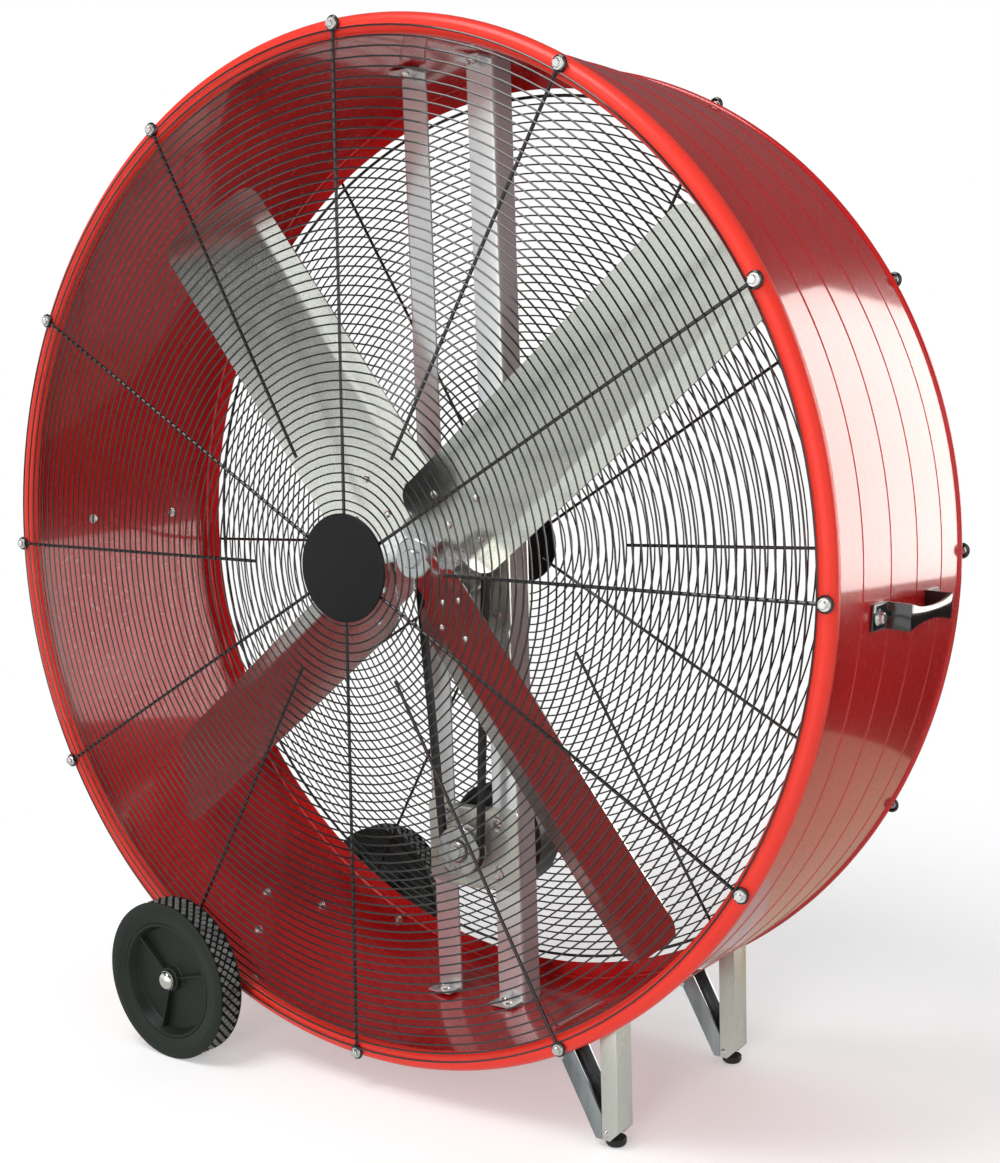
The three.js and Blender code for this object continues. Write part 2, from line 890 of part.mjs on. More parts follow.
function drivePieces() {
  const hub = motorShaftRadius + 6;
  const wheel = pulley(motorPulleyRadius, motorShaftRadius, hub, motorPulleyHubLength, 10);
  const motorSide = group(
    piece("motor", motor(), "motorPaint"),
    piece("motor_bracket", motorBracket(), "strutZinc"),
    piece("motor_shaft", motorShaft(), "steel"),
    at(piece("motor_pulley", wheel, "steel"), 0, beltPlane, 0),
  );
  return group(piece("belt", belt(), "belt"), at(motorSide, 0, 0, -motorDrop));
}

function wheelSet(place, name) {
  const turning = group(
    piece(`${name}_tyre`, tyre(), "tyre"),
    piece(`${name}_wheel`, wheelDisc(), "wheelPlastic"),
  );
  return at(turning, 0, place, 0);
}

function rollingPieces() {
  const frontNut = piece("front_axle_nut", domeNut(), "chrome");
  const rearNut = piece("rear_axle_nut", domeNut(), "chrome");
  rearNut.rotation.z = Math.PI;
  const running = group(
    piece("axle", axle(), "steel"),
    wheelSet(wheelFront + wheelWidth / 2, "front"),
    wheelSet(wheelRear - wheelWidth / 2, "rear"),
    at(frontNut, 0, axleFront - seatGap, 0),
    at(rearNut, 0, axleRear + seatGap, 0),
  );
  return group(
    at(running, -axleAside, 0, axleHeight),
    piece("front_axle_bracket", axleBracket(frontAxleBracketPlace), "strutZinc"),
    piece("rear_axle_bracket", axleBracket(rearAxleBracketPlace), "strutZinc"),
  );
}

function legPieces() {
  const across = legOuter - legToe / 2 + footShift;
  return group(
    piece("front_leg", leg(frontLegPlace), "strutZinc"),
    piece("rear_leg", leg(rearLegPlace), "strutZinc"),
    at(piece("front_foot", foot(), "rubber"), across, frontLegPlace, ground),
    at(piece("rear_foot", foot(), "rubber"), across, rearLegPlace, ground),
  );
}

const fan = group(
  drumPieces(),
  guardPieces(),
  bearingPieces(),
  rotor(),
  drivePieces(),
  rollingPieces(),
  legPieces(),
);
at(fan, 0, -(wheelFront + wheelRear) / 2, -ground);

export default group(fan);
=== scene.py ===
from math import acos, asin, cos, degrees, pi, radians, sin, sqrt, tan

import bmesh
import bpy
from mathutils import Matrix, Vector


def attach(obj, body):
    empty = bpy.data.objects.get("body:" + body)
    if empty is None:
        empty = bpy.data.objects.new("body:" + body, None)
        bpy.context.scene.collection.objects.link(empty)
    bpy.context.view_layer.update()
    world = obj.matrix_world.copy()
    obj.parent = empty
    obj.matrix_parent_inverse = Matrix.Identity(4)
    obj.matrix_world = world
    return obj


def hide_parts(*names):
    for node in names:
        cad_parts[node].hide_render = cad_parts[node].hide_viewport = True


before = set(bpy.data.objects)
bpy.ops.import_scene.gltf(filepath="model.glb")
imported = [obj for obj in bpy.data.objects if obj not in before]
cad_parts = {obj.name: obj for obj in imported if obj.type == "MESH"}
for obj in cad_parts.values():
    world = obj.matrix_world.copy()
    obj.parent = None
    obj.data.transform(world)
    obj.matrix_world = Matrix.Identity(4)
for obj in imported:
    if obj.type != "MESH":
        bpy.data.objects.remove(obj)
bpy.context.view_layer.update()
print("frame loaded")

# Pieces are drawn in millimetres round the centre of the drum's front edge, then moved here.
place = {"front": -0.1795, "height": 0.669075}
scene = bpy.context.scene
scene.view_settings.view_transform = "Standard"


# Helpers for materials.

def newMaterial(name):
    material = bpy.data.materials.new(name)
    material.use_nodes = True
    return material, material.node_tree.nodes, material.node_tree.links


def objectCoords(nodes, links, stretch=(1, 1, 1)):
    coords = nodes.new("ShaderNodeTexCoord")
    mapping = nodes.new("ShaderNodeMapping")
    mapping.inputs["Scale"].default_value = stretch
    links.new(coords.outputs["Object"], mapping.inputs["Vector"])
    return mapping.outputs["Vector"]


def noise(nodes, links, vector, scale, detail=3.0, rough=0.5):
    node = nodes.new("ShaderNodeTexNoise")
    node.inputs["Scale"].default_value = scale
    node.inputs["Detail"].default_value = detail
    node.inputs["Roughness"].default_value = rough
    links.new(vector, node.inputs["Vector"])
    return node.outputs["Fac"]


def ramp(nodes, links, factor, stops):
    node = nodes.new("ShaderNodeValToRGB")
    elements = node.color_ramp.elements
    while len(elements) < len(stops):
        elements.new(0.5)
    for element, (position, colour) in zip(elements, stops):
        element.position = position
        element.color = (*colour, 1)
    links.new(factor, node.inputs["Fac"])
    return node.outputs["Color"]


def spread(nodes, links, factor, low, high):
    node = nodes.new("ShaderNodeMapRange")
    node.inputs["From Min"].default_value = 0.3
    node.inputs["From Max"].default_value = 0.7
    node.inputs["To Min"].default_value = low
    node.inputs["To Max"].default_value = high
    links.new(factor, node.inputs["Value"])
    return node.outputs["Result"]


def bump(nodes, links, height, strength, distance):
    node = nodes.new("ShaderNodeBump")
    node.inputs["Strength"].default_value = strength
    node.inputs["Distance"].default_value = distance
    links.new(height, node.inputs["Height"])
    return node.outputs["Normal"]


# A coated or bare finish: two tones in patches, a grain in its gloss and a fine bump.
def makeFinish(name, tones, gloss, metal=0.0, coat=0.0, coatGloss=0.1, patch=9.0,
               grain=220.0, relief=0.08, depth=0.0004, stretch=(1, 1, 1), specular=0.5):
    material, nodes, links = newMaterial(name)
    shader = nodes["Principled BSDF"]
    vector = objectCoords(nodes, links, stretch)
    patches = noise(nodes, links, vector, patch)
    fine = noise(nodes, links, vector, grain, detail=2.0)
    tone = ramp(nodes, links, patches, [(0.3, tones[0]), (0.7, tones[1])])
    links.new(tone, shader.inputs["Base Color"])
    links.new(spread(nodes, links, fine, *gloss), shader.inputs["Roughness"])
    links.new(bump(nodes, links, fine, relief, depth), shader.inputs["Normal"])
    shader.inputs["Metallic"].default_value = metal
    shader.inputs["Coat Weight"].default_value = coat
    shader.inputs["Coat Roughness"].default_value = coatGloss
    shader.inputs["Specular IOR Level"].default_value = specular
    return material


finishes = {
    "drum": makeFinish("redPaint", [(0.52, 0.008, 0.009), (0.58, 0.010, 0.010)],
                       (0.25, 0.28), coat=0.75, coatGloss=0.06, relief=0.001, grain=90.0,
                       specular=0.3),
    # The front bead is the drum's own rolled sheet; its brighter orange-red is painted light, a
    # lit copy of the drum red.
    "bead": makeFinish("redBeadPaintedLight", [(0.80, 0.036, 0.022), (0.86, 0.042, 0.025)],
                       (0.30, 0.38), coat=0.12, coatGloss=0.15, relief=0.03, specular=0.35),
    "wire": makeFinish("blackWire", [(0.006, 0.006, 0.007), (0.011, 0.011, 0.012)],
                       (0.16, 0.24), coat=0.5, coatGloss=0.06, grain=600.0, specular=0.4),
    "cover": makeFinish("coverBlack", [(0.006, 0.006, 0.007), (0.010, 0.009, 0.010)],
                        (0.30, 0.38), grain=900.0, relief=0.05, depth=0.0002,
                        specular=0.2),
    "zinc": makeFinish("galvanised", [(0.66, 0.67, 0.61), (0.78, 0.79, 0.73)],
                       (0.26, 0.34), metal=0.75, grain=60.0, relief=0.01, patch=14.0,
                       stretch=(1.0, 1.0, 0.3)),
    "strut": makeFinish("strutZinc", [(0.78, 0.80, 0.80), (0.88, 0.90, 0.90)],
                        (0.19, 0.25), metal=0.65, grain=50.0, relief=0.006, patch=6.0,
                        stretch=(1.0, 1.0, 0.25)),
    # A darker copy of the strut finish for the struts' side faces: painted shade.
    "flange": makeFinish("strutSideZincPaintedShade", [(0.42, 0.43, 0.43), (0.52, 0.53, 0.53)],
                         (0.5, 0.6), grain=50.0, relief=0.01, patch=6.0,
                         stretch=(1.0, 1.0, 0.25), specular=0.12),
    "blade": makeFinish("bladeSheet", [(0.57, 0.59, 0.56), (0.64, 0.66, 0.62)],
                        (0.15, 0.19), metal=0.95, grain=40.0, relief=0.004, patch=5.0),
    # The diagonal brace's dark, streaky tones are painted shade on zinc sheet.
    "brace": makeFinish("braceZincPaintedShade", [(0.17, 0.19, 0.205), (0.46, 0.49, 0.51)],
                        (0.20, 0.32), metal=0.85, grain=60.0, relief=0.01, patch=26.0,
                        stretch=(1.0, 1.0, 0.22)),
    "steel": makeFinish("turnedSteel", [(0.68, 0.70, 0.71), (0.78, 0.80, 0.81)],
                        (0.14, 0.26), metal=1.0, grain=300.0, relief=0.04),
    "plated": makeFinish("platedBolt", [(0.74, 0.74, 0.73), (0.84, 0.84, 0.83)],
                         (0.16, 0.26), metal=0.9, grain=500.0, relief=0.04),
    "pulley": makeFinish("pulleyZinc", [(0.48, 0.48, 0.47), (0.74, 0.75, 0.74)],
                         (0.20, 0.42), metal=0.9, grain=120.0, relief=0.12, patch=60.0),
    "iron": makeFinish("castGrey", [(0.10, 0.11, 0.12), (0.15, 0.16, 0.17)],
                       (0.42, 0.55), metal=0.3, grain=420.0, relief=0.3, depth=0.0008),
    "belt": makeFinish("beltRubber", [(0.010, 0.010, 0.010), (0.017, 0.017, 0.017)],
                       (0.55, 0.75), grain=700.0, relief=0.3),
    "motor": makeFinish("motorPaint", [(0.010, 0.011, 0.012), (0.017, 0.018, 0.020)],
                        (0.34, 0.46), grain=350.0, relief=0.15),
    "tyre": makeFinish("tyreRubber", [(0.003, 0.003, 0.003), (0.006, 0.006, 0.006)],
                       (0.7, 0.85), grain=500.0, relief=0.25, specular=0.2),
    "lug": makeFinish("tyreLug", [(0.10, 0.104, 0.10), (0.22, 0.23, 0.22)],
                      (0.42, 0.6), grain=400.0, relief=0.25, patch=60.0),
    "wheel": makeFinish("wheelPlastic", [(0.012, 0.016, 0.013), (0.017, 0.022, 0.018)],
                        (0.36, 0.48), grain=480.0, relief=0.10, specular=0.25),
    "chrome": makeFinish("chromeNut", [(0.78, 0.77, 0.70), (0.86, 0.85, 0.79)],
                         (0.05, 0.12), metal=1.0, grain=300.0, relief=0.02),
    "handle": makeFinish("handleBlack", [(0.006, 0.006, 0.007), (0.010, 0.010, 0.011)],
                         (0.10, 0.18), coat=0.8, coatGloss=0.04, relief=0.03),
    "rubber": makeFinish("footRubber", [(0.010, 0.010, 0.010), (0.016, 0.016, 0.016)],
                         (0.5, 0.7), grain=450.0, relief=0.2),
}
print("materials made")


# Helpers for shapes.

def lathe(bm, profile, steps, closed=True):
    verts = [bm.verts.new((0, y, radius)) for radius, y in profile]
    edges = [bm.edges.new(pair) for pair in zip(verts, verts[1:])]
    if closed:
        edges.append(bm.edges.new((verts[-1], verts[0])))
    bmesh.ops.spin(bm, geom=verts + edges, cent=(0, 0, 0), axis=(0, 1, 0),
                   angle=2 * pi, steps=steps, use_merge=True)
    bmesh.ops.remove_doubles(bm, verts=bm.verts, dist=0.001)


def arcPoints(centre, radius, start, end, steps):
    angles = [radians(start + (end - start) * i / steps) for i in range(steps + 1)]
    return [(centre[0] + radius * cos(a), centre[1] + radius * sin(a)) for a in angles]


# A ring of round wire.
def wireRing(bm, centre, axis, major, minor, steps, sides=6):
    ring = bmesh.new()
    axis = Vector(axis)
    side = axis.orthogonal().normalized()
    turn = Matrix((side, axis, side.cross(axis))).transposed().to_4x4()
    spot = Matrix.Translation(Vector(centre) + side * major) @ turn
    made = bmesh.ops.create_circle(ring, segments=sides, radius=minor, matrix=spot)
    bmesh.ops.spin(ring, geom=made["verts"] + ring.edges[:], cent=centre, axis=axis,
                   angle=2 * pi, steps=steps, use_merge=True)
    merge(bm, ring)


# Adds a finished part to a piece.
def merge(bm, part):
    holder = bpy.data.meshes.new("holder")
    part.to_mesh(holder)
    part.free()
    bm.from_mesh(holder)
    bpy.data.meshes.remove(holder)


def rod(bm, start, end, radius, sides=12, tip=None):
    start, end = Vector(start), Vector(end)
    way = end - start
    turn = way.to_track_quat("Z", "Y").to_matrix().to_4x4()
    bmesh.ops.create_cone(bm, cap_ends=True, segments=sides, radius1=radius,
                          radius2=radius if tip is None else tip, depth=way.length,
                          matrix=Matrix.Translation((start + end) / 2) @ turn)


# Layers of a flanged hexagon head, and of a nut with its washer and bolt end: start, end,
# radius, radius at the end and sides, as shares of the bolt's size.
boltLayers = {"head": [(0.0, 0.14, 0.68, 0.60, 20), (0.14, 0.46, 0.50, 0.50, 6),
                       (0.46, 0.56, 0.44, 0.34, 16)],
              "nut": [(0.0, 0.14, 0.75, 0.75, 20), (0.14, 0.62, 0.52, 0.52, 6),
                      (0.62, 0.95, 0.28, 0.24, 12)]}


# A bolt end whose seat is at a point, facing a direction.
def boltEnd(bm, seat, out, size, kind="head"):
    seat, out = Vector(seat), Vector(out).normalized()
    for start, end, radius, tip, sides in boltLayers[kind]:
        rod(bm, seat + out * size * start, seat + out * size * end, size * radius, sides,
            size * tip)


# A flat plate in x and z with round corners.
def plate(bm, left, low, right, high, corner):
    spots = [(left, low), (right, low), (right, high), (left, high)]
    verts = [bm.verts.new((x, 0, z)) for x, z in spots]
    bm.faces.new(verts)
    bmesh.ops.bevel(bm, geom=verts, affect="VERTICES", offset=corner, segments=8,
                    profile=0.5, material=-1)


def extrudeOutline(bm, points, way):
    verts = [bm.verts.new(point) for point in points]
    face = bm.faces.new(verts)
    made = bmesh.ops.extrude_face_region(bm, geom=[face])
    moved = [v for v in made["geom"] if isinstance(v, bmesh.types.BMVert)]
    bmesh.ops.translate(bm, verts=moved, vec=way)


def finishPiece(name, bm, look, body, stands=(), crisp=35.0, softer=0.0):
    if softer:
        sharp = [e for e in bm.edges if e.is_manifold and e.calc_face_angle(0) > radians(40)]
        bmesh.ops.bevel(bm, geom=sharp, affect="EDGES", offset=softer, segments=2,
                        profile=0.5, material=-1, clamp_overlap=True)
    bmesh.ops.recalc_face_normals(bm, faces=bm.faces)
    bmesh.ops.scale(bm, verts=bm.verts, vec=(0.001, 0.001, 0.001))
    bmesh.ops.translate(bm, verts=bm.verts, vec=(0, place["front"], place["height"]))
    mesh = bpy.data.meshes.new(name)
    bm.to_mesh(mesh)
    bm.free()
    mesh.shade_smooth()
    mesh.set_sharp_from_angle(angle=radians(crisp))
    piece = bpy.data.objects.new(name, mesh)
    scene.collection.objects.link(piece)
    for entry in look if isinstance(look, (list, tuple)) else [look]:
        mesh.materials.append(finishes[entry])
    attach(piece, body)
    if stands:
        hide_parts(*stands)


# Gives a CAD node its finish where the node itself stays.
def dressNode(node, look):
    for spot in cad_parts[node].material_slots:
        spot.material = finishes[look]


# Drum: a sheet with a rolled front rim, ribs and a lip at the back.
drum = {"radius": 620.0, "depth": 364.0, "wall": 1.6, "beadRadius": 12.0, "beadReach": 8.7,
        "rearRadius": 4.0, "rearReach": 3.0, "rib": (0.8, 3.6), "firstRib": 89.0,
        "ribPitch": 71.5, "ribs": 4, "lip": 597.0, "lipSheet": 1.6, "steps": 240}
drum["inside"] = drum["radius"] - drum["wall"]


# A rib's outline on the wall, rounded like a pressed bead.
def ribLine(middle, height, width, radius):
    shares = [-0.5, -0.36, -0.2, 0.0, 0.2, 0.36, 0.5]
    line = [(radius + height * (0.5 + 0.5 * cos(2 * pi * s)), middle + width * s)
            for s in shares]
    return [(radius, middle - width * 0.8)] + line + [(radius, middle + width * 0.8)]


def makeDrum():
    bm = bmesh.new()
    bead, small = drum["beadRadius"], drum["rearRadius"]
    centre = drum["radius"] + drum["beadReach"] - bead
    rearCentre = drum["radius"] + drum["rearReach"] - small
    outer = degrees(acos((drum["radius"] - centre) / bead))
    inner = degrees(acos((drum["inside"] - centre) / bead))
    rearOuter = degrees(acos((drum["radius"] - rearCentre) / small))
    rearInner = degrees(acos((drum["inside"] - rearCentre) / small))
    rear = (rearCentre, drum["depth"] - small)
    profile = arcPoints((centre, bead), bead, inner, 360 + outer, 28)
    profile += [(drum["radius"], profile[-1][1] + 1.5)]
    for i in range(drum["ribs"]):
        middle = drum["firstRib"] + i * drum["ribPitch"]
        profile += ribLine(middle, *drum["rib"], drum["radius"])
    rearFoot = rear[1] - small * sin(radians(rearOuter)) - 1.0
    profile += [(drum["radius"], rearFoot)] + arcPoints(rear, small, -rearOuter, 90, 10)
    sheet = drum["lipSheet"]
    profile += [(drum["lip"] + 0.6, drum["depth"]), (drum["lip"], drum["depth"] - sheet / 2),
                (drum["lip"] + 0.6, drum["depth"] - sheet)]
    profile += [(rearCentre - small, drum["depth"] - sheet)]
    profile += arcPoints(rear, small, 180, 360 - rearInner, 5)
    profile += [(drum["inside"], rearFoot), (drum["inside"], 2 * bead)]
    lathe(bm, profile, drum["steps"])
    for face in bm.faces:
        if face.calc_center_median().y < 2 * bead:
            face.material_index = 1  # the front rim, in the brighter bead red: painted light on the drum's own paint
    finishPiece("drumShell", bm, ["drum", "bead"], "frame", ["drum"], crisp=50)


# Wire guards: rings in front of twelve spokes that end in bolt eyes.
guard = {"wire": 1.1, "spoke": 2.1, "rings": 51, "first": 70.7, "last": 612.6,
         "boltCircle": 620.0, "long": 40.0, "shortFront": 151.0, "shortRear": 171.0,
         "eye": 7.4, "bolt": 10.8, "shank": 4.2, "turn": 2.0, "heavy": 589.0, "clear": 4.0,
         "gap": 0.4, "sunk": 0.35, "stepsPerMm": 0.24, "fewest": 48}


def makeGuard(name, node, face, side, short, turn):
    bm = bmesh.new()
    turned = Matrix.Rotation(radians(turn), 3, "Y")
    level = face + side * (guard["gap"] + guard["spoke"])
    ringLevel = level + side * (guard["spoke"] + guard["wire"] - guard["sunk"])
    for i in range(guard["rings"]):
        radius = guard["first"] + (guard["last"] - guard["first"]) * i / (guard["rings"] - 1)
        if side > 0 and radius > guard["heavy"] - guard["clear"]:
            continue
        steps = max(guard["fewest"], int(radius * guard["stepsPerMm"]))
        wireRing(bm, (0, ringLevel, 0), (0, 1, 0), radius, guard["wire"], steps)
    if side > 0:
        wireRing(bm, (0, level, 0), (0, 1, 0), guard["heavy"], guard["spoke"], 150, 8)
    for i in range(12):
        angle = radians(30 * i)
        out = Vector((sin(angle), 0, cos(angle)))
        start = out * (short if i % 2 else guard["long"])
        end = out * (guard["boltCircle"] - guard["eye"])
        lift = Vector((0, level, 0))
        rod(bm, start + lift, end + lift, guard["spoke"], 10)
        eye = out * guard["boltCircle"] + lift
        wireRing(bm, eye, (0, 1, 0), guard["eye"], guard["spoke"], 20, 8)
    bmesh.ops.rotate(bm, verts=bm.verts, cent=(0, 0, 0), matrix=turned)
    finishPiece(name, bm, "wire", "frame", [node])
    bolts = bmesh.new()
    for i in range(12):
        angle = radians(30 * i)
        seat = Vector((sin(angle), 0, cos(angle))) * guard["boltCircle"]
        seat.y = level + side * (guard["spoke"] - guard["gap"])
        boltEnd(bolts, seat, (0, side, 0), guard["bolt"])
        rod(bolts, (seat.x, face - side * 1.0, seat.z), seat, guard["shank"], 10)
    bmesh.ops.rotate(bolts, verts=bolts.verts, cent=(0, 0, 0), matrix=turned)
    finishPiece(name + "Bolts", bolts, "plated", "frame")


# Cover discs in the middle of the guards.
cover = {"frontRadius": 66.0, "rearRadius": 54.0, "thick": 3.2, "edge": 2.0,
         "frontFace": -5.6, "rearFace": 369.6}


def makeCover(name, node, radius, back, side):
    bm = bmesh.new()
    thick, edge = cover["thick"], cover["edge"]
    rim = [(radius - edge + edge * sin(radians(a)), thick - edge + edge * cos(radians(a)))
           for a in range(0, 91, 15)]
    profile = [(0.0, 0.0), (radius, 0.0)] + rim[::-1] + [(0.0, thick)]
    profile = [(r, back + side * y) for r, y in profile]
    lathe(bm, profile, 96, closed=False)
    finishPiece(name, bm, "cover", "frame", [node])


# Blades, their rivets and the spider that carries them.
blade = {"turn": 53.0, "pitch": 28.0, "edgePitch": 16.0, "root": 46.0, "tip": 575.0,
         "lead": 64.5, "crease": 46.5, "trail": 73.0, "middle": 131.0, "sheet": 2.0,
         "corner": 27.0, "bend": 5.0}
rivets = {"spots": [(0.0, 70.0), (0.0, 126.0), (-35.0, 89.0), (36.0, 86.0)], "radius": 5.2,
          "sunk": 0.3, "side": 1.6, "high": 2.9, "shoulder": 0.86, "crown": 0.4}


# How far back the sheet lies at a distance across the blade: two slopes and a soft crease.
def sheetLine(across):
    slope, edge = tan(radians(blade["pitch"])), tan(radians(blade["edgePitch"]))
    crease, bend = blade["crease"], blade["bend"]
    if across <= crease - bend:
        return blade["middle"] + across * slope
    if across >= crease + bend:
        return blade["middle"] + crease * slope + (across - crease) * edge
    step = across - crease + bend
    curve = (edge - slope) / (4 * bend)
    return blade["middle"] + (crease - bend) * slope + slope * step + curve * step ** 2


# A plate bent to that line, with its thickness.
def slopedPlate(bm, left, low, right, high, corner, thick, behind):
    plate(bm, left, low, right, high, corner)
    crease, bend = blade["crease"], blade["bend"]
    for cut in (-1, -0.5, 0, 0.5, 1):
        spot = crease + cut * bend
        if left < spot < right:
            bmesh.ops.bisect_plane(bm, geom=bm.verts[:] + bm.edges[:] + bm.faces[:],
                                   plane_co=(spot, 0, 0), plane_no=(1, 0, 0))
    stretch = 1 / cos(radians(blade["pitch"]))
    made = bmesh.ops.extrude_face_region(bm, geom=bm.faces[:])
    back = [v for v in made["geom"] if isinstance(v, bmesh.types.BMVert)]
    for vert in bm.verts:
        vert.co.y = sheetLine(vert.co.x) + behind * stretch
    bmesh.ops.translate(bm, verts=back, vec=(0, thick * stretch, 0))


def makeBlades():
    for i in range(4):
        turn = Matrix.Rotation(radians(blade["turn"] + 90 * i), 3, "Y")
        bm = bmesh.new()
        slopedPlate(bm, -blade["lead"], blade["root"], blade["trail"], blade["tip"],
                    blade["corner"], blade["sheet"], 0)
        bmesh.ops.rotate(bm, verts=bm.verts, cent=(0, 0, 0), matrix=turn)
        node = f"blade_{i + 1}"
        finishPiece(f"bladeSheet{i + 1}", bm, "blade", "fan_rotor", [node],
                    crisp=30)
        heads = bmesh.new()
        out = Vector((sin(radians(blade["pitch"])), -cos(radians(blade["pitch"])), 0))
        for across, along in rivets["spots"]:
            seat = Vector((across, sheetLine(across), along)) - out * rivets["sunk"]
            side, crown = seat + out * rivets["side"], seat + out * rivets["high"]
            size = rivets["radius"]
            shoulder = size * rivets["shoulder"]
            rod(heads, seat, side, size, 16, shoulder)
            rod(heads, side, crown, shoulder, 16, size * rivets["crown"])
        bmesh.ops.rotate(heads, verts=heads.verts, cent=(0, 0, 0), matrix=turn)
        finishPiece(f"bladeRivets{i + 1}", heads, "plated", "fan_rotor", crisp=25)


spider = {"boss": 27.0, "front": 124.0, "rear": 176.0, "bore": 12.8, "edge": 2.0,
          "screw": 5.0, "screwBack": 9.0, "screwOut": 1.5}
arm = {"half": 38.0, "start": 14.0, "reach": 142.0, "corner": 20.0 / 1.4, "sheet": 4.0,
       "gap": 0.3}


def makeSpider():
    bm = bmesh.new()
    boss, front, rear, bore = spider["boss"], spider["front"], spider["rear"], spider["bore"]
    edge, screw = spider["edge"], rear - spider["screwBack"]
    lathe(bm, [(bore, front), (boss - edge, front), (boss, front + edge), (boss, rear - edge),
               (boss - edge, rear), (bore, rear)], 64)
    rod(bm, (0, screw, boss - 3), (0, screw, boss + spider["screwOut"]), spider["screw"], 6)
    for i in range(4):
        part = bmesh.new()
        slopedPlate(part, -arm["half"], arm["start"], arm["half"], arm["reach"],
                    arm["corner"], arm["sheet"], blade["sheet"] + arm["gap"])
        turn = Matrix.Rotation(radians(blade["turn"] + 90 * i), 3, "Y")
        bmesh.ops.rotate(part, verts=part.verts, cent=(0, 0, 0), matrix=turn)
        merge(bm, part)
    finishPiece("spiderHub", bm, "steel", "fan_rotor", ["spider"])


shaft = {"radius": 12.5, "front": 118.0, "rear": 296.0, "edge": 1.5, "centreHole": 2.5}


def makeShaft():
    bm = bmesh.new()
    radius, front, rear = shaft["radius"], shaft["front"], shaft["rear"]
    edge, hole = shaft["edge"], shaft["centreHole"]
    lathe(bm, [(0, front + 3), (hole, front), (radius - edge, front), (radius, front + edge),
               (radius, rear - edge), (radius - edge, rear), (hole, rear), (0, rear - 3)],
          48, closed=False)
    finishPiece("mainShaft", bm, "steel", "fan_rotor", ["shaft"])


# Belt drive: two grooved pulleys in one plane, and the motor.
drive = {"plane": 204.5, "drop": 400.0, "fan": 61.0, "motor": 34.0, "beltHigh": 8.0,
         "beltTop": 12.5, "beltBottom": 7.5, "groove": 10.5}
pulleys = {
    "fanSheave": {"node": "fan_pulley", "body": "fan_rotor", "radius": drive["fan"],
                  "shaftSize": 12.5, "hubSize": 23.0, "hubLength": 20.0, "web": 6.0,
                  "drop": 0.0},
    "motorSheave": {"node": "motor_pulley", "body": "motor_rotor", "radius": drive["motor"],
                    "shaftSize": 8.0, "hubSize": 14.0, "hubLength": 24.0, "web": 10.0,
                    "drop": drive["drop"]},
}


def makePulley(name, node, body, radius, shaftSize, hubSize, hubLength, web, drop):
    bm = bmesh.new()
    slope = (drive["beltTop"] - drive["beltBottom"]) / 2 / drive["beltHigh"]
    top = drive["beltTop"] / 2 + 0.4
    foot = top - slope * drive["groove"]
    rim = top + 2.5
    inner = max(radius - drive["groove"] - 8, hubSize + 2)
    bore = shaftSize + 0.3
    deep = radius - drive["groove"]
    profile = [(bore, rim - hubLength), (hubSize - 1.5, rim - hubLength),
               (hubSize, rim - hubLength + 1.5), (hubSize, rim - web - 2),
               (hubSize + 2, rim - web), (inner - 2, rim - web), (inner, rim - web - 2),
               (inner, -rim + 1), (inner + 1, -rim), (radius - 1, -rim), (radius, -rim + 1),
               (radius, -top), (deep, -foot), (deep, foot), (radius, top), (radius, rim - 1),
               (radius - 1, rim), (bore, rim)]
    lathe(bm, [(r, y + drive["plane"]) for r, y in profile], 96)
    bmesh.ops.translate(bm, verts=bm.verts, vec=(0, 0, -drop))
    finishPiece(name, bm, "pulley", body, [node], crisp=28)


def makeBelt():
    bm = bmesh.new()
    high, top, low = drive["beltHigh"], drive["beltTop"], drive["beltBottom"]
    large, small = drive["fan"] - high, drive["motor"] - high
    lean = asin((large - small) / drive["drop"])
    y = drive["plane"]
    section = [(0, -low / 2), (high - 1.5, -top / 2 + 0.4), (high, -top / 2 + 1.2),
               (high, top / 2 - 1.2), (high - 1.5, top / 2 - 0.4), (0, low / 2)]
    # The section is spun round one pulley, led to the other, spun there and closed.
    side = Vector((cos(lean), 0, -sin(lean)))
    verts = [bm.verts.new(side * (large + out) + Vector((0, y + aside, 0)))
             for out, aside in section]
    edges = [bm.edges.new((a, b)) for a, b in zip(verts, verts[1:] + verts[:1])]
    first = list(edges)
    made = bmesh.ops.spin(bm, geom=verts + edges, cent=(0, 0, 0), axis=(0, 1, 0),
                          angle=-(pi + 2 * lean), steps=40)
    last = [g for g in made["geom_last"] if isinstance(g, bmesh.types.BMEdge)]
    other = Vector((-cos(lean), 0, -sin(lean)))
    made = bmesh.ops.extrude_edge_only(bm, edges=last)
    moved = [g for g in made["geom"] if isinstance(g, bmesh.types.BMVert)]
    for vert in moved:
        out = Vector((vert.co.x, 0, vert.co.z)).length - large
        vert.co = other * (small + out) + Vector((0, vert.co.y, -drive["drop"]))
    edges = [g for g in made["geom"] if isinstance(g, bmesh.types.BMEdge)
             and all(v in moved for v in g.verts)]
    made = bmesh.ops.spin(bm, geom=moved + edges, cent=(0, 0, -drive["drop"]),
                          axis=(0, 1, 0), angle=-(pi - 2 * lean), steps=32)
    last = [g for g in made["geom_last"] if isinstance(g, bmesh.types.BMEdge)]
    bmesh.ops.bridge_loops(bm, edges=first + last)
    finishPiece("driveBelt", bm, "belt", "frame", ["belt"], crisp=50)


motor = {"radius": 75.0, "nose": 30.0, "noseFront": 233.3, "bodyFront": 271.3,
         "length": 72.0, "bore": 8.5, "pocket": 32.0, "boltCircle": 58.0, "bolt": 4.5}


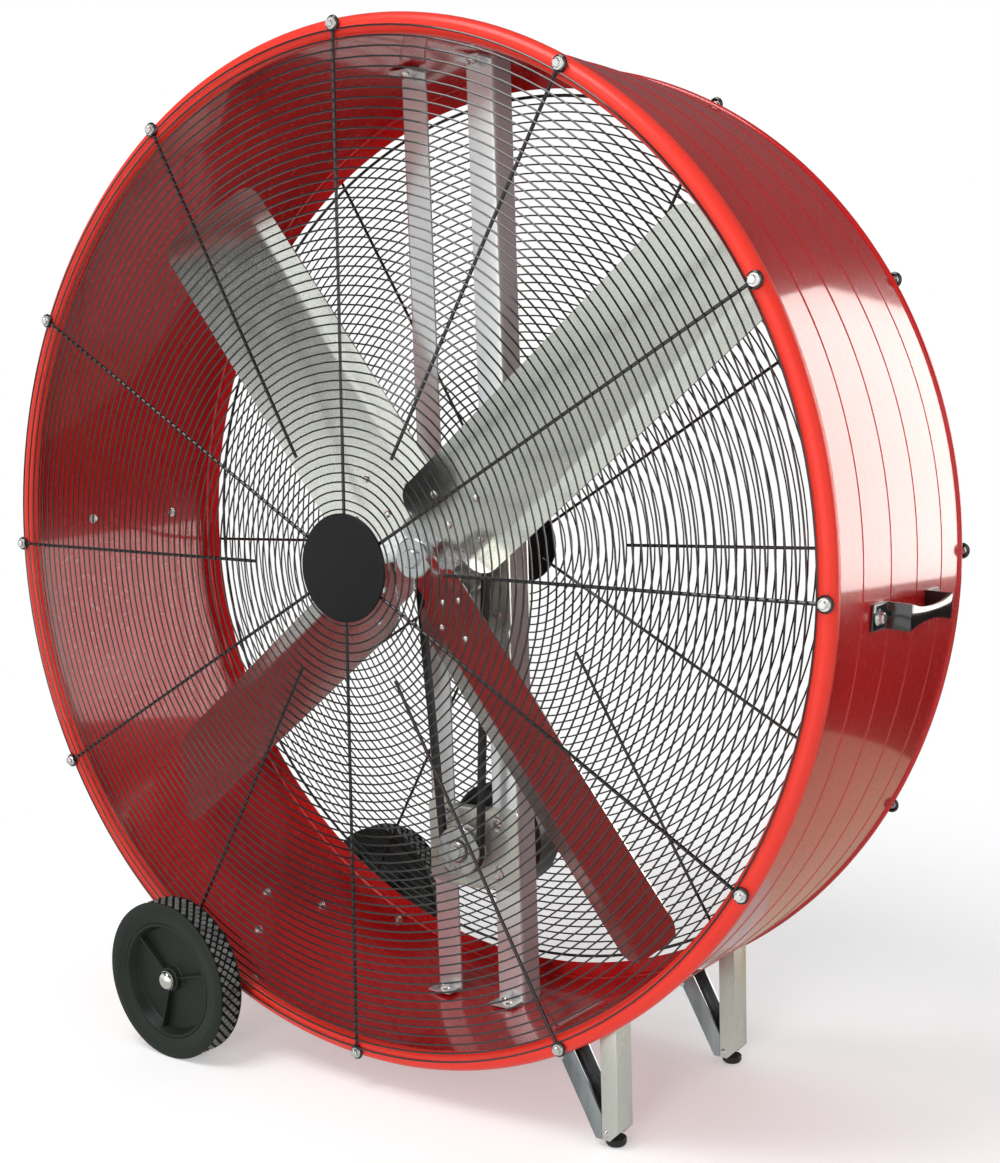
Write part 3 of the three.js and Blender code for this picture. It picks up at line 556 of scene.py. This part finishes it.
def makeMotor():
    bm = bmesh.new()
    radius, nose = motor["radius"], motor["nose"]
    front, start = motor["noseFront"], motor["bodyFront"]
    rear = start + motor["length"]
    pocket = front + motor["pocket"]
    profile = [(0, pocket), (motor["bore"], pocket), (motor["bore"], front),
               (nose - 2, front), (nose, front + 2), (nose, start - 4), (nose + 4, start),
               (radius - 14, start), (radius - 8, start + 2), (radius - 3, start + 8),
               (radius - 1.5, start + 12), (radius, start + 12.5), (radius, rear - 16),
               (radius - 1.5, rear - 15.5), (radius - 3, rear - 10), (radius - 9, rear - 3),
               (radius - 18, rear - 0.6), (26, rear), (22, rear - 2), (0, rear - 2)]
    lathe(bm, profile, 96, closed=False)
    for i in range(4):
        angle = radians(45 + 90 * i)
        circle = motor["boltCircle"]
        spot = Vector((sin(angle) * circle, rear - 1.5, cos(angle) * circle))
        rod(bm, spot, spot + Vector((0, 3.0, 0)), motor["bolt"], 6)
    bmesh.ops.translate(bm, verts=bm.verts, vec=(0, 0, -drive["drop"]))
    finishPiece("motorBody", bm, "motor", "frame", ["motor"], crisp=30)


# Struts, and the bearings that their plates carry.
strut = {"inner": 33.0, "face": 41.0, "deep": 38.0, "sheet": 3.0, "front": 233.0,
         "bend": 5.0, "tab": 26.0, "bolt": 13.0}
bearing = {"bore": 13.0, "frontFace": 229.4, "frontLength": 14.0, "rearFace": 274.6,
           "rearLength": 18.0, "boltCircle": 32.5, "flange": 5.2, "bolt": 10.0}


def makeBearing(name, node, back, side, length):
    bm = bmesh.new()
    bore, circle = bearing["bore"], bearing["boltCircle"]
    profile = [(bore, 0), (38.5, 0), (40, 1.5), (40, 3.5), (38.5, 5), (27, 5.5), (24, 8),
               (23, length - 1), (22, length), (17, length), (16.5, length - 1.5),
               (bore, length - 1.5)]
    lathe(bm, [(r, back + side * y) for r, y in profile], 72)
    finishPiece(name, bm, "iron", "frame", [node], crisp=30)
    bolts = bmesh.new()
    for i in range(4):
        angle = radians(45 + 90 * i)
        seat = (sin(angle) * circle, back + side * bearing["flange"], cos(angle) * circle)
        boltEnd(bolts, seat, (0, side, 0), bearing["bolt"])
    finishPiece(name + "Bolts", bolts, "plated", "frame")


def makeStrut(name, node, side):
    bm = bmesh.new()
    inner, outer = strut["inner"], strut["inner"] + strut["face"]
    front, sheet, bend = strut["front"], strut["sheet"], strut["bend"]
    rear, tab = front + strut["deep"], strut["tab"]
    reach = sqrt(drum["inside"] ** 2 - outer ** 2) - 1.0
    corner = [(outer - bend + bend * sin(radians(a)), front + bend - bend * cos(radians(a)))
              for a in range(0, 91, 18)]
    inside = bend - sheet
    hollow = [(outer - bend + inside * sin(radians(a)), front + bend - inside * cos(radians(a)))
              for a in range(90, -1, -18)]
    outline = [(inner, front)] + corner + [(outer, rear), (outer - sheet, rear)]
    outline += hollow + [(inner, front + sheet)]
    extrudeOutline(bm, [(side * x, y, -reach) for x, y in outline], (0, 0, 2 * reach))
    for end in (-1, 1):
        low = reach - sheet
        spots = [(inner + 2, front - tab), (outer - 3, front - tab), (outer - 3, front + 1),
                 (inner + 2, front + 1)]
        extrudeOutline(bm, [(side * x, y, end * low) for x, y in spots], (0, 0, end * sheet))
    bm.normal_update()
    for face in bm.faces:
        if abs(face.normal.x) > 0.7:
            face.material_index = 1  # the sides get a darker, duller copy of the strut finish: painted shade
    finishPiece(name, bm, ["strut", "flange"], "frame", [node], crisp=30)
    bolts = bmesh.new()
    for end in (-1, 1):
        seat = (side * (inner + outer) / 2, front - tab / 2, end * (reach - sheet))
        boltEnd(bolts, seat, (0, 0, -end), strut["bolt"])
    finishPiece(name + "Bolts", bolts, "plated", "frame")


# Bolts of the bearing plates and of the motor's plate.
plateBolts = {"front": 229.7, "rear": 274.3, "aside": 54, "up": 82, "size": 11.0,
              "motorAside": 42, "motorUp": 36, "motorSize": 12.0}


def makeDriveBolts():
    bolts = bmesh.new()
    front, rear, size = plateBolts["front"], plateBolts["rear"], plateBolts["size"]
    for x in (-1, 1):
        for z in (-1, 1):
            aside, up = x * plateBolts["aside"], z * plateBolts["up"]
            boltEnd(bolts, (aside, front, up), (0, -1, 0), size)
            boltEnd(bolts, (aside, rear, up), (0, 1, 0), size, "nut")
            low = (x * plateBolts["motorAside"], front,
                   z * plateBolts["motorUp"] - drive["drop"])
            boltEnd(bolts, low, (0, -1, 0), plateBolts["motorSize"])
    finishPiece("plateBolts", bolts, "plated", "frame")


# Wheels and axle.
wheel = {"radius": 108.7, "width": 38.0, "aside": -307.5, "down": -560.375,
         "front": -46.0, "rear": 405.0, "hub": 80.0, "rows": 3, "around": 50,
         "tread": 106.2, "lugWide": 0.60, "lugTall": 0.56, "lugFoot": 1.12, "smooth": 2.8,
         "ribs": (75, 195, 315)}
axle = {"radius": 9.5, "front": -60, "rear": 419, "edge": 1, "frontNut": -60.3,
        "rearNut": 419.3}


def moveToWheel(bm, along, flip):
    if flip:
        turn = Matrix.Rotation(pi, 3, "Z")
        bmesh.ops.rotate(bm, verts=bm.verts, cent=(0, 0, 0), matrix=turn)
    bmesh.ops.translate(bm, verts=bm.verts, vec=(wheel["aside"], along, wheel["down"]))


def makeTyre(name, node, body, along, flip):
    bm = bmesh.new()
    half, radius, hub = wheel["width"] / 2, wheel["radius"], wheel["hub"]
    side = [(hub, half - 2.0), (hub + 1.0, half - 1.2), (hub + 12, half - 0.9),
            (hub + 13, half - 0.2), (hub + 15, half - 0.2), (hub + 16, half),
            (radius - 1.6, half), (radius - 0.5, half - 0.5), (radius - 0.1, half - 1.6),
            (radius - 0.4, half - 2.6), (wheel["tread"], half - 3.2)]
    profile = side + [(r, -y) for r, y in side[::-1]]
    lathe(bm, profile, 120)
    for face in bm.faces:
        spot = face.calc_center_median()
        if abs(spot.y) > half - wheel["smooth"]:
            face.material_index = 1  # side walls and smooth shoulders
    moveToWheel(bm, along, flip)
    finishPiece(name, bm, ["tyre", "wheel"], body, [node], crisp=40)
    lugs = bmesh.new()
    rows, around = wheel["rows"], wheel["around"]
    wide = wheel["width"] / rows * wheel["lugWide"]
    tall = 2 * pi * wheel["radius"] / around * wheel["lugTall"]
    for row in range(2 * rows - 1):
        y = (row - rows + 1) * wheel["width"] / rows / 2
        high = wheel["radius"]
        for i in range(around):
            angle = 2 * pi * (i + (0.5 if row % 2 else 0.0)) / around
            spots = [(0, -wide / 2), (tall / 2, 0), (0, wide / 2), (-tall / 2, 0)]
            verts = []
            for aside, over in spots:
                turn = angle + aside / wheel["radius"]
                verts.append(lugs.verts.new((high * sin(turn), y + over, high * cos(turn))))
            face = lugs.faces.new(verts)
            made = bmesh.ops.extrude_face_region(lugs, geom=[face])
            foot = [v for v in made["geom"] if isinstance(v, bmesh.types.BMVert)]
            for vert in foot:
                flat = Vector((vert.co.x, 0, vert.co.z)).normalized() * (wheel["tread"] - 0.5)
                vert.co = Vector((flat.x, (vert.co.y - y) * wheel["lugFoot"] + y, flat.z))
    moveToWheel(lugs, along, flip)
    finishPiece(name + "Tread", lugs, "lug", body, crisp=20)


def makeWheel(name, node, body, along, flip):
    bm = bmesh.new()
    half, band = wheel["width"] / 2, wheel["hub"] - 0.3
    face = [(10.0, -12.0), (15.0, -12.0), (16.4, -11.0), (17.4, -4.0), (19, -2.7), (66, -2.4),
            (69.5, -3.2), (71.5, -5.5), (74.0, -half + 3.0), (75.5, -half + 1.4),
            (band - 1, -half + 1.2), (band, -half + 2.2)]
    profile = face + [(r, -y) for r, y in face[::-1]]
    lathe(bm, profile, 96)
    for side in (-1, 1):
        for angle in wheel["ribs"]:
            rib = [(-1.8, side * 1.5, 18), (1.8, side * 1.5, 18), (2.6, side * 1.5, 73.5),
                   (-2.6, side * 1.5, 73.5)]
            made = [bm.verts.new(p) for p in rib]
            face = bm.faces.new(made)
            lifted = bmesh.ops.extrude_face_region(bm, geom=[face])
            top = [v for v in lifted["geom"] if isinstance(v, bmesh.types.BMVert)]
            for vert in top:
                near = vert.co.z < 40
                vert.co = Vector((vert.co.x * 0.55, side * (9.5 if near else 13.5), vert.co.z))
            turn = Matrix.Rotation(radians(angle), 3, "Y")
            bmesh.ops.rotate(bm, verts=made + top, cent=(0, 0, 0), matrix=turn)
    moveToWheel(bm, along, flip)
    finishPiece(name, bm, "wheel", body, [node], crisp=32)


def makeNut(name, node, face, side):
    bm = bmesh.new()
    profile = [(0.0, 0.0), (12.0, 0.0), (13.0, 0.8), (13.0, 1.8)]
    profile += [(12.6 * cos(radians(a)), 2.0 + 7.0 * sin(radians(a))) for a in range(0, 91, 10)]
    lathe(bm, [(r, face + side * y) for r, y in profile], 48, closed=False)
    bmesh.ops.translate(bm, verts=bm.verts, vec=(wheel["aside"], 0, wheel["down"]))
    finishPiece(name, bm, "chrome", "frame", [node])


def makeAxle():
    bm = bmesh.new()
    radius, front, rear, edge = axle["radius"], axle["front"], axle["rear"], axle["edge"]
    profile = [(0, front), (radius - edge, front), (radius, front + edge),
               (radius, rear - edge), (radius - edge, rear), (0, rear)]
    lathe(bm, profile, 48, closed=False)
    bmesh.ops.translate(bm, verts=bm.verts, vec=(wheel["aside"], 0, wheel["down"]))
    finishPiece("wheelAxle", bm, "steel", "frame", ["axle"])


# Feet, legs and handles.
foot = {"x": 338.5, "front": 41.0, "rear": 326.0, "radius": 12.5, "high": 10.0,
        "ground": -669.075}


def makeFoot(name, node, along):
    bm = bmesh.new()
    radius, high = foot["radius"], foot["high"]
    profile = [(0, 0), (radius - 5, 0), (radius - 2.2, 0.8), (radius - 0.6, 2.8), (radius, 5),
               (radius, high - 0.8), (radius - 0.8, high), (0, high)]
    lathe(bm, profile, 40, closed=False)
    turn = Matrix.Rotation(pi / 2, 3, "X")
    bmesh.ops.rotate(bm, verts=bm.verts, cent=(0, 0, 0), matrix=turn)
    bmesh.ops.translate(bm, verts=bm.verts, vec=(foot["x"], along, foot["ground"]))
    finishPiece(name, bm, "rubber", "frame", [node])


leg = {"outer": 352.0, "flange": 22.0, "web": 33.0, "sheet": 3.0, "lean": 27.7,
       "toe": 31.0, "corner": 12.0, "bottom": -658.8, "seat": 620.6, "edge": 0.5,
       "rivet": 4.0, "rivetTip": 2.6, "rivetHigh": 2.0, "rivetLevel": -570.0}


# Where a line meets the drum's underside.
def meetDrum(point, way):
    half = -(point[0] * way[0] + point[1] * way[1])
    square = point[0] ** 2 + point[1] ** 2 - leg["seat"] ** 2
    reach = half - sqrt(half ** 2 - square)
    return point[0] + reach * way[0], point[1] + reach * way[1]


def makeLeg(name, node, along):
    lean, low, outer = radians(leg["lean"]), leg["bottom"], leg["outer"]
    free, sheet, web = outer - leg["flange"], leg["sheet"], leg["web"]
    slant, inward = (-sin(lean), cos(lean)), (cos(lean), sin(lean))
    toe = (outer - leg["toe"], low)
    corner = leg["corner"]
    inner = (toe[0] + leg["flange"] * inward[0], low + leg["flange"] * inward[1])
    rise = (inner[0] - free) / sin(lean)
    fork = (free, inner[1] + rise * slant[1])
    wall = (toe[0] + sheet * inward[0], low + sheet * inward[1])
    upright = [(free, low), (outer - corner, low), (outer, low + corner),
               meetDrum((outer, low), (0, 1)), meetDrum((free, low), (0, 1))]
    outside = [(outer - sheet, low + corner - 1), (outer, low + corner),
               meetDrum((outer, low), (0, 1)), meetDrum((outer - sheet, low), (0, 1))]
    brace = [toe, (free - 0.2, low), (free - 0.2, fork[1]), meetDrum(inner, slant),
             meetDrum(toe, slant)]
    under = [toe, wall, meetDrum(wall, slant), meetDrum(toe, slant)]
    bm = bmesh.new()
    # Look 1, for the diagonal brace and the flange under it, is the darker brace finish:
    # painted shade.
    for outline, look in ((upright, 0), (brace, 1)):
        for start in (along - web / 2, along + web / 2 - sheet):
            part = bmesh.new()
            extrudeOutline(part, [(x, start, z) for x, z in outline], (0, sheet, 0))
            for face in part.faces:
                face.material_index = look
            merge(bm, part)
    for outline, look in ((outside, 0), (under, 1)):
        part = bmesh.new()
        start = along - web / 2 + sheet
        extrudeOutline(part, [(x, start, z) for x, z in outline], (0, web - 2 * sheet, 0))
        for face in part.faces:
            face.material_index = look
        merge(bm, part)
    finishPiece(name, bm, ["zinc", "brace"], "frame", [node], crisp=30,
                softer=leg["edge"])
    heads = bmesh.new()
    seat = along - web / 2
    for x, z in ((free + 5, fork[1] - 22),
                 (meetDrum(inner, slant)[0] - 14, leg["rivetLevel"])):
        rod(heads, (x, seat, z), (x, seat - leg["rivetHigh"], z), leg["rivet"], 14,
            leg["rivetTip"])
    finishPiece(name + "Rivets", heads, "plated", "frame")


handle = {"turn": 4.5, "middle": 202.0, "half": 57.0, "tab": 35.0, "stand": 31.0,
          "sheet": 3.0, "gap": 0.3, "wide": 29.0, "grip": 15.0, "bend": 5.0, "edge": 1.0,
          "steps": 14, "bolt": 78.0, "boltSize": 13.0, "nutSize": 9.0}


def makeHandle(name, node, turn):
    bm = bmesh.new()
    half, stand, wide = handle["half"], handle["stand"], handle["wide"]
    base = drum["radius"] + handle["sheet"] + handle["gap"]
    top = drum["radius"] + stand - handle["gap"]
    spots = [(-half - handle["tab"], base), (-half - 1.5, base), (-half - 1.5, top)]
    steps = handle["steps"]
    spots += [(-half + 2 * half * i / steps, top) for i in range(1, steps)]
    spots += [(half + 1.5, top), (half + 1.5, base), (half + handle["tab"], base)]
    rows = []
    for along, out in spots:
        share = max(0.0, 1 - (abs(along) / (half * 0.98)) ** 2.4) if out == top else 0.0
        reach = wide / 2 - (wide - handle["grip"]) / 2 * share
        rows.append([bm.verts.new((out, along, -reach)), bm.verts.new((out, along, reach))])
    for first, second in zip(rows, rows[1:]):
        bm.faces.new((first[0], first[1], second[1], second[0]))
    bends = [e for e in bm.edges if e.is_manifold and e.calc_face_angle(0) > radians(60)]
    bmesh.ops.bevel(bm, geom=bends, affect="EDGES", offset=handle["bend"], segments=4,
                    profile=0.5, material=-1)
    bmesh.ops.recalc_face_normals(bm, faces=bm.faces)
    bmesh.ops.solidify(bm, geom=bm.faces[:], thickness=handle["sheet"])
    low = min(vert.co.x for vert in bm.verts)
    bmesh.ops.translate(bm, verts=bm.verts, 
                        vec=(drum["radius"] + handle["gap"] - low, 0, 0))
    rims = [e for e in bm.edges if e.is_manifold and e.calc_face_angle(0) > radians(70)]
    bmesh.ops.bevel(bm, geom=rims, affect="EDGES", offset=handle["edge"], segments=2,
                    profile=0.5, material=-1)
    bolts = bmesh.new()
    for end in (-1, 1):
        seat = (drum["radius"] + 3.2, end * handle["bolt"], 0)
        boltEnd(bolts, seat, (1, 0, 0), handle["boltSize"])
        seat = (drum["inside"] - 0.1, end * handle["bolt"], 0)
        boltEnd(bolts, seat, (-1, 0, 0), handle["nutSize"], "nut")
    for part in (bm, bolts):
        bmesh.ops.translate(part, verts=part.verts, vec=(0, handle["middle"], 0))
        bmesh.ops.rotate(part, verts=part.verts, cent=(0, 0, 0),
                         matrix=Matrix.Rotation(radians(turn), 3, "Y"))
    finishPiece(name, bm, "handle", "frame", [node], crisp=40)
    finishPiece(name + "Bolts", bolts, "plated", "frame")


# Bolt ends that show on the drum's floor, over the axle brackets and the legs.
floorBolts = {"spots": [(202.0, 27.0), (202.0, 337.0), (209.4, 112.0), (209.4, 245.0),
                        (214.7, 180.0), (151.0, 41.0), (151.0, 326.0)], "size": 9.0}


def makeFloorBolts():
    bm = bmesh.new()
    for angle, along in floorBolts["spots"]:
        out = Vector((sin(radians(angle)), 0, cos(radians(angle))))
        seat = out * (drum["inside"] - 0.1) + Vector((0, along, 0))
        boltEnd(bm, seat, -out, floorBolts["size"], "nut")
    finishPiece("floorBolts", bm, "plated", "frame")


makeDrum()
makeGuard("frontGuardWire", "front_guard", 0.0, -1, guard["shortFront"], guard["turn"])
makeGuard("rearGuardWire", "rear_guard", drum["depth"], 1, guard["shortRear"], 0.0)
makeCover("frontCover", "front_disc", cover["frontRadius"], cover["frontFace"], -1)
makeCover("rearCover", "rear_disc", cover["rearRadius"], cover["rearFace"], 1)
print("drum and guards made")
makeBlades()
makeSpider()
makeShaft()
for name, values in pulleys.items():
    makePulley(name, **values)
makeBelt()
makeMotor()
print("rotor and drive made")
makeBearing("frontBearing", "front_bearing", bearing["frontFace"], -1, bearing["frontLength"])
makeBearing("rearBearing", "rear_bearing", bearing["rearFace"], 1, bearing["rearLength"])
makeStrut("strutLeft", "strut_left", -1)
makeStrut("strutRight", "strut_right", 1)
makeDriveBolts()
makeTyre("frontTyre", "front_tyre", "front_wheel_body", wheel["front"], False)
makeTyre("rearTyre", "rear_tyre", "rear_wheel_body", wheel["rear"], True)
makeWheel("frontWheelDisc", "front_wheel", "front_wheel_body", wheel["front"], False)
makeWheel("rearWheelDisc", "rear_wheel", "rear_wheel_body", wheel["rear"], True)
makeNut("frontNut", "front_axle_nut", axle["frontNut"], -1)
makeNut("rearNut", "rear_axle_nut", axle["rearNut"], 1)
makeAxle()
makeFoot("frontFoot", "front_foot", foot["front"])
makeFoot("rearFoot", "rear_foot", foot["rear"])
makeLeg("frontLeg", "front_leg", foot["front"])
makeLeg("rearLeg", "rear_leg", foot["rear"])
makeHandle("handleRight", "handle_right", handle["turn"])
makeHandle("handleLeft", "handle_left", 180 + handle["turn"])
makeFloorBolts()
for node in ("front_bearing_plate", "rear_bearing_plate", "motor_bracket",
             "front_axle_bracket", "rear_axle_bracket"):
    dressNode(node, "zinc")
dressNode("motor_shaft", "steel")
print("running gear and handles made")


# Floor, light and camera.
# The second shader for rays of the one or two kinds named, the first for all others.
def rayShare(nodes, links, first, second, *outputs):
    path = nodes.new("ShaderNodeLightPath")
    mix = nodes.new("ShaderNodeMixShader")
    either = nodes.new("ShaderNodeMath")
    either.operation = "MAXIMUM"
    for output, socket in zip((outputs[0], outputs[-1]), either.inputs):
        links.new(path.outputs[output], socket)
    links.new(either.outputs[0], mix.inputs["Fac"])
    links.new(first, mix.inputs[1])
    links.new(second, mix.inputs[2])
    return mix.outputs[0]


def glow(nodes, colour, strength):
    node = nodes.new("ShaderNodeEmission")
    node.inputs["Color"].default_value = (*colour, 1)
    node.inputs["Strength"].default_value = strength
    return node.outputs[0]


def stagePiece(name, bm, material):
    mesh = bpy.data.meshes.new(name)
    bm.to_mesh(mesh)
    bm.free()
    piece = bpy.data.objects.new(name, mesh)
    scene.collection.objects.link(piece)
    mesh.materials.append(material)


# The floor is white to the eye far off, catches soft shadows near the fan, and is
# a pale grey in reflections.
floor = {"size": 30.0, "near": 0.75, "far": 1.75, "tone": 0.86, "lift": 0.34, "seen": 0.55}


def makeFloor():
    bm = bmesh.new()
    bmesh.ops.create_grid(bm, x_segments=2, y_segments=2, size=floor["size"])
    material, nodes, links = newMaterial("paleFloor")
    shader = nodes["Principled BSDF"]
    shader.inputs["Base Color"].default_value = (floor["tone"],) * 3 + (1,)
    shader.inputs["Roughness"].default_value = 0.9
    shader.inputs["Specular IOR Level"].default_value = 0.0
    lifted = nodes.new("ShaderNodeAddShader")
    links.new(shader.outputs[0], lifted.inputs[0])
    links.new(glow(nodes, (1, 1, 1), floor["lift"]), lifted.inputs[1])
    coords = nodes.new("ShaderNodeTexCoord")
    distance = nodes.new("ShaderNodeVectorMath")
    distance.operation = "LENGTH"
    links.new(coords.outputs["Object"], distance.inputs[0])
    share = nodes.new("ShaderNodeMapRange")
    share.interpolation_type = "SMOOTHSTEP"
    share.inputs["From Min"].default_value = floor["near"]
    share.inputs["From Max"].default_value = floor["far"]
    links.new(distance.outputs["Value"], share.inputs["Value"])
    fade = nodes.new("ShaderNodeMixShader")
    links.new(share.outputs["Result"], fade.inputs["Fac"])
    links.new(lifted.outputs[0], fade.inputs[1])
    links.new(glow(nodes, (1, 1, 1), 1.0), fade.inputs[2])
    seen = rayShare(nodes, links, shader.outputs[0], fade.outputs[0], "Is Camera Ray",
                    "Is Transmission Ray")
    grey = glow(nodes, (0.99, 1.0, 0.97), floor["seen"])
    links.new(rayShare(nodes, links, seen, grey, "Is Glossy Ray"),
              nodes["Material Output"].inputs["Surface"])
    stagePiece("studioFloor", bm, material)


# Cards that only reflections see: where each lies, the way it turns round the upright
# and leans back, its width and height, its colour and strength.
cards = {
    "windowCard": ((2.85, 3.75, 1.55), -35.0, 90.0, 3.5, 2.95, (1.0, 0.95, 0.90), 4.6),
    "frontCard": ((0.9, -5.0, 1.9), 0.0, 90.0, 7.4, 3.8, (1.0, 1.0, 0.98), 1.55),
    "upperFrontCard": ((0.9, -5.0, 4.0), 0.0, 90.0, 7.4, 0.4, (1.0, 1.0, 0.98), 0.5),
    "leftFrontCard": ((-4.0, -2.9, 1.4), -56.0, 90.0, 5.0, 2.8, (0.97, 1.0, 1.0), 0.85),
    "rightCard": ((4.9, -1.8, 1.4), 90.0, 90.0, 4.0, 2.8, (1.0, 1.0, 1.0), 0.8),
    "farFloorCard": ((1.5, 3.8, 0.001), 0.0, 0.0, 7.0, 5.4, (1.0, 0.8, 0.75), 0.03),
    "nearFloorCard": ((0.62, 0.78, 0.002), 0.0, 0.0, 0.9, 0.66, (1.0, 0.78, 0.57), 0.56),
    "frontFloorCard": ((0.25, -0.95, 0.002), 0.0, 0.0, 1.7, 0.6, (0.98, 1.0, 0.96), 0.8),
    "stripCard": ((0.1, -2.0, 0.002), 0.0, 0.0, 2.4, 1.5, (0.98, 1.0, 0.96), 1.3),
}


def makeCards():
    for name, (spot, turn, lean, width, height, colour, strength) in cards.items():
        bm = bmesh.new()
        bmesh.ops.create_grid(bm, x_segments=1, y_segments=1, size=0.5)
        bmesh.ops.scale(bm, verts=bm.verts, vec=(width, height, 1))
        for angle, axis in ((lean, "X"), (turn, "Z")):
            bmesh.ops.rotate(bm, verts=bm.verts, cent=(0, 0, 0),
                             matrix=Matrix.Rotation(radians(angle), 3, axis))
        bmesh.ops.translate(bm, verts=bm.verts, vec=spot)
        material, nodes, links = newMaterial(name)
        material.cycles.emission_sampling = "NONE"
        clear = nodes.new("ShaderNodeBsdfTransparent")
        links.new(rayShare(nodes, links, clear.outputs[0], glow(nodes, colour, strength),
                           "Is Glossy Ray"), nodes["Material Output"].inputs["Surface"])
        stagePiece(name, bm, material)


# How bright the world is to diffuse light, to reflections and to the eye.
worldLevels = {"diffuse": 0.46, "glossy": 0.12, "eye": 1.0}


def makeWorld():
    world = bpy.data.worlds.new("studio")
    scene.world = world
    world.use_nodes = True
    nodes, links = world.node_tree.nodes, world.node_tree.links
    backs = {}
    for name, level in worldLevels.items():
        backs[name] = nodes.new("ShaderNodeBackground")
        backs[name].inputs["Color"].default_value = (1, 1, 1, 1)
        backs[name].inputs["Strength"].default_value = level
    dim = rayShare(nodes, links, backs["diffuse"].outputs[0], backs["glossy"].outputs[0],
                   "Is Glossy Ray")
    links.new(rayShare(nodes, links, dim, backs["eye"].outputs[0], "Is Camera Ray",
                       "Is Transmission Ray"), nodes["World Output"].inputs["Surface"])


# Where each lamp is, what it aims at, its size and its power.
lamps = {
    "keyTop": ((-0.5, -1.9, 4.0), (0, 0, 0.6), 1.8, 65.0),
    "frontFill": ((1.3, -4.6, 1.2), (0, 0, 0.6), 1.6, 92.0),
    "leftFill": ((-3.6, -2.6, 1.5), (0, 0, 0.7), 1.6, 9.0),
    "topSoft": ((0.6, 0.8, 4.2), (0, 0, 0.6), 2.4, 12.0),
}


def makeLamps():
    for name, (spot, target, size, power) in lamps.items():
        light = bpy.data.lights.new(name, "AREA")
        light.shape = "SQUARE"
        light.size = size
        light.energy = power
        lamp = bpy.data.objects.new(name, light)
        lamp.location = spot
        way = Vector(target) - Vector(spot)
        lamp.rotation_euler = way.to_track_quat("-Z", "Y").to_euler()
        scene.collection.objects.link(lamp)
        lamp.visible_glossy = name == "keyTop"


view = {"spot": (1.26064, -1.58645, 0.82704), "right": (0.79451, 0.60607, -0.03791),
        "up": (-0.06624, 0.14856, 0.98668), "focal": 1561.72, "high": 1163.0,
        "shift": (0.03010, 0.08550)}


def makeCamera():
    data = bpy.data.cameras.new("photoView")
    data.sensor_width = 36.0
    data.lens = 36.0 * view["focal"] / view["high"]
    data.shift_x, data.shift_y = view["shift"]
    data.clip_start, data.clip_end = 0.05, 100
    camera = bpy.data.objects.new("photoView", data)
    right, up = Vector(view["right"]), Vector(view["up"])
    turn = Matrix((right, up, right.cross(up))).transposed().to_4x4()
    camera.matrix_world = Matrix.Translation(view["spot"]) @ turn
    scene.collection.objects.link(camera)
    scene.camera = camera


makeFloor()
makeCards()
makeWorld()
makeLamps()
makeCamera()
print("stage set")
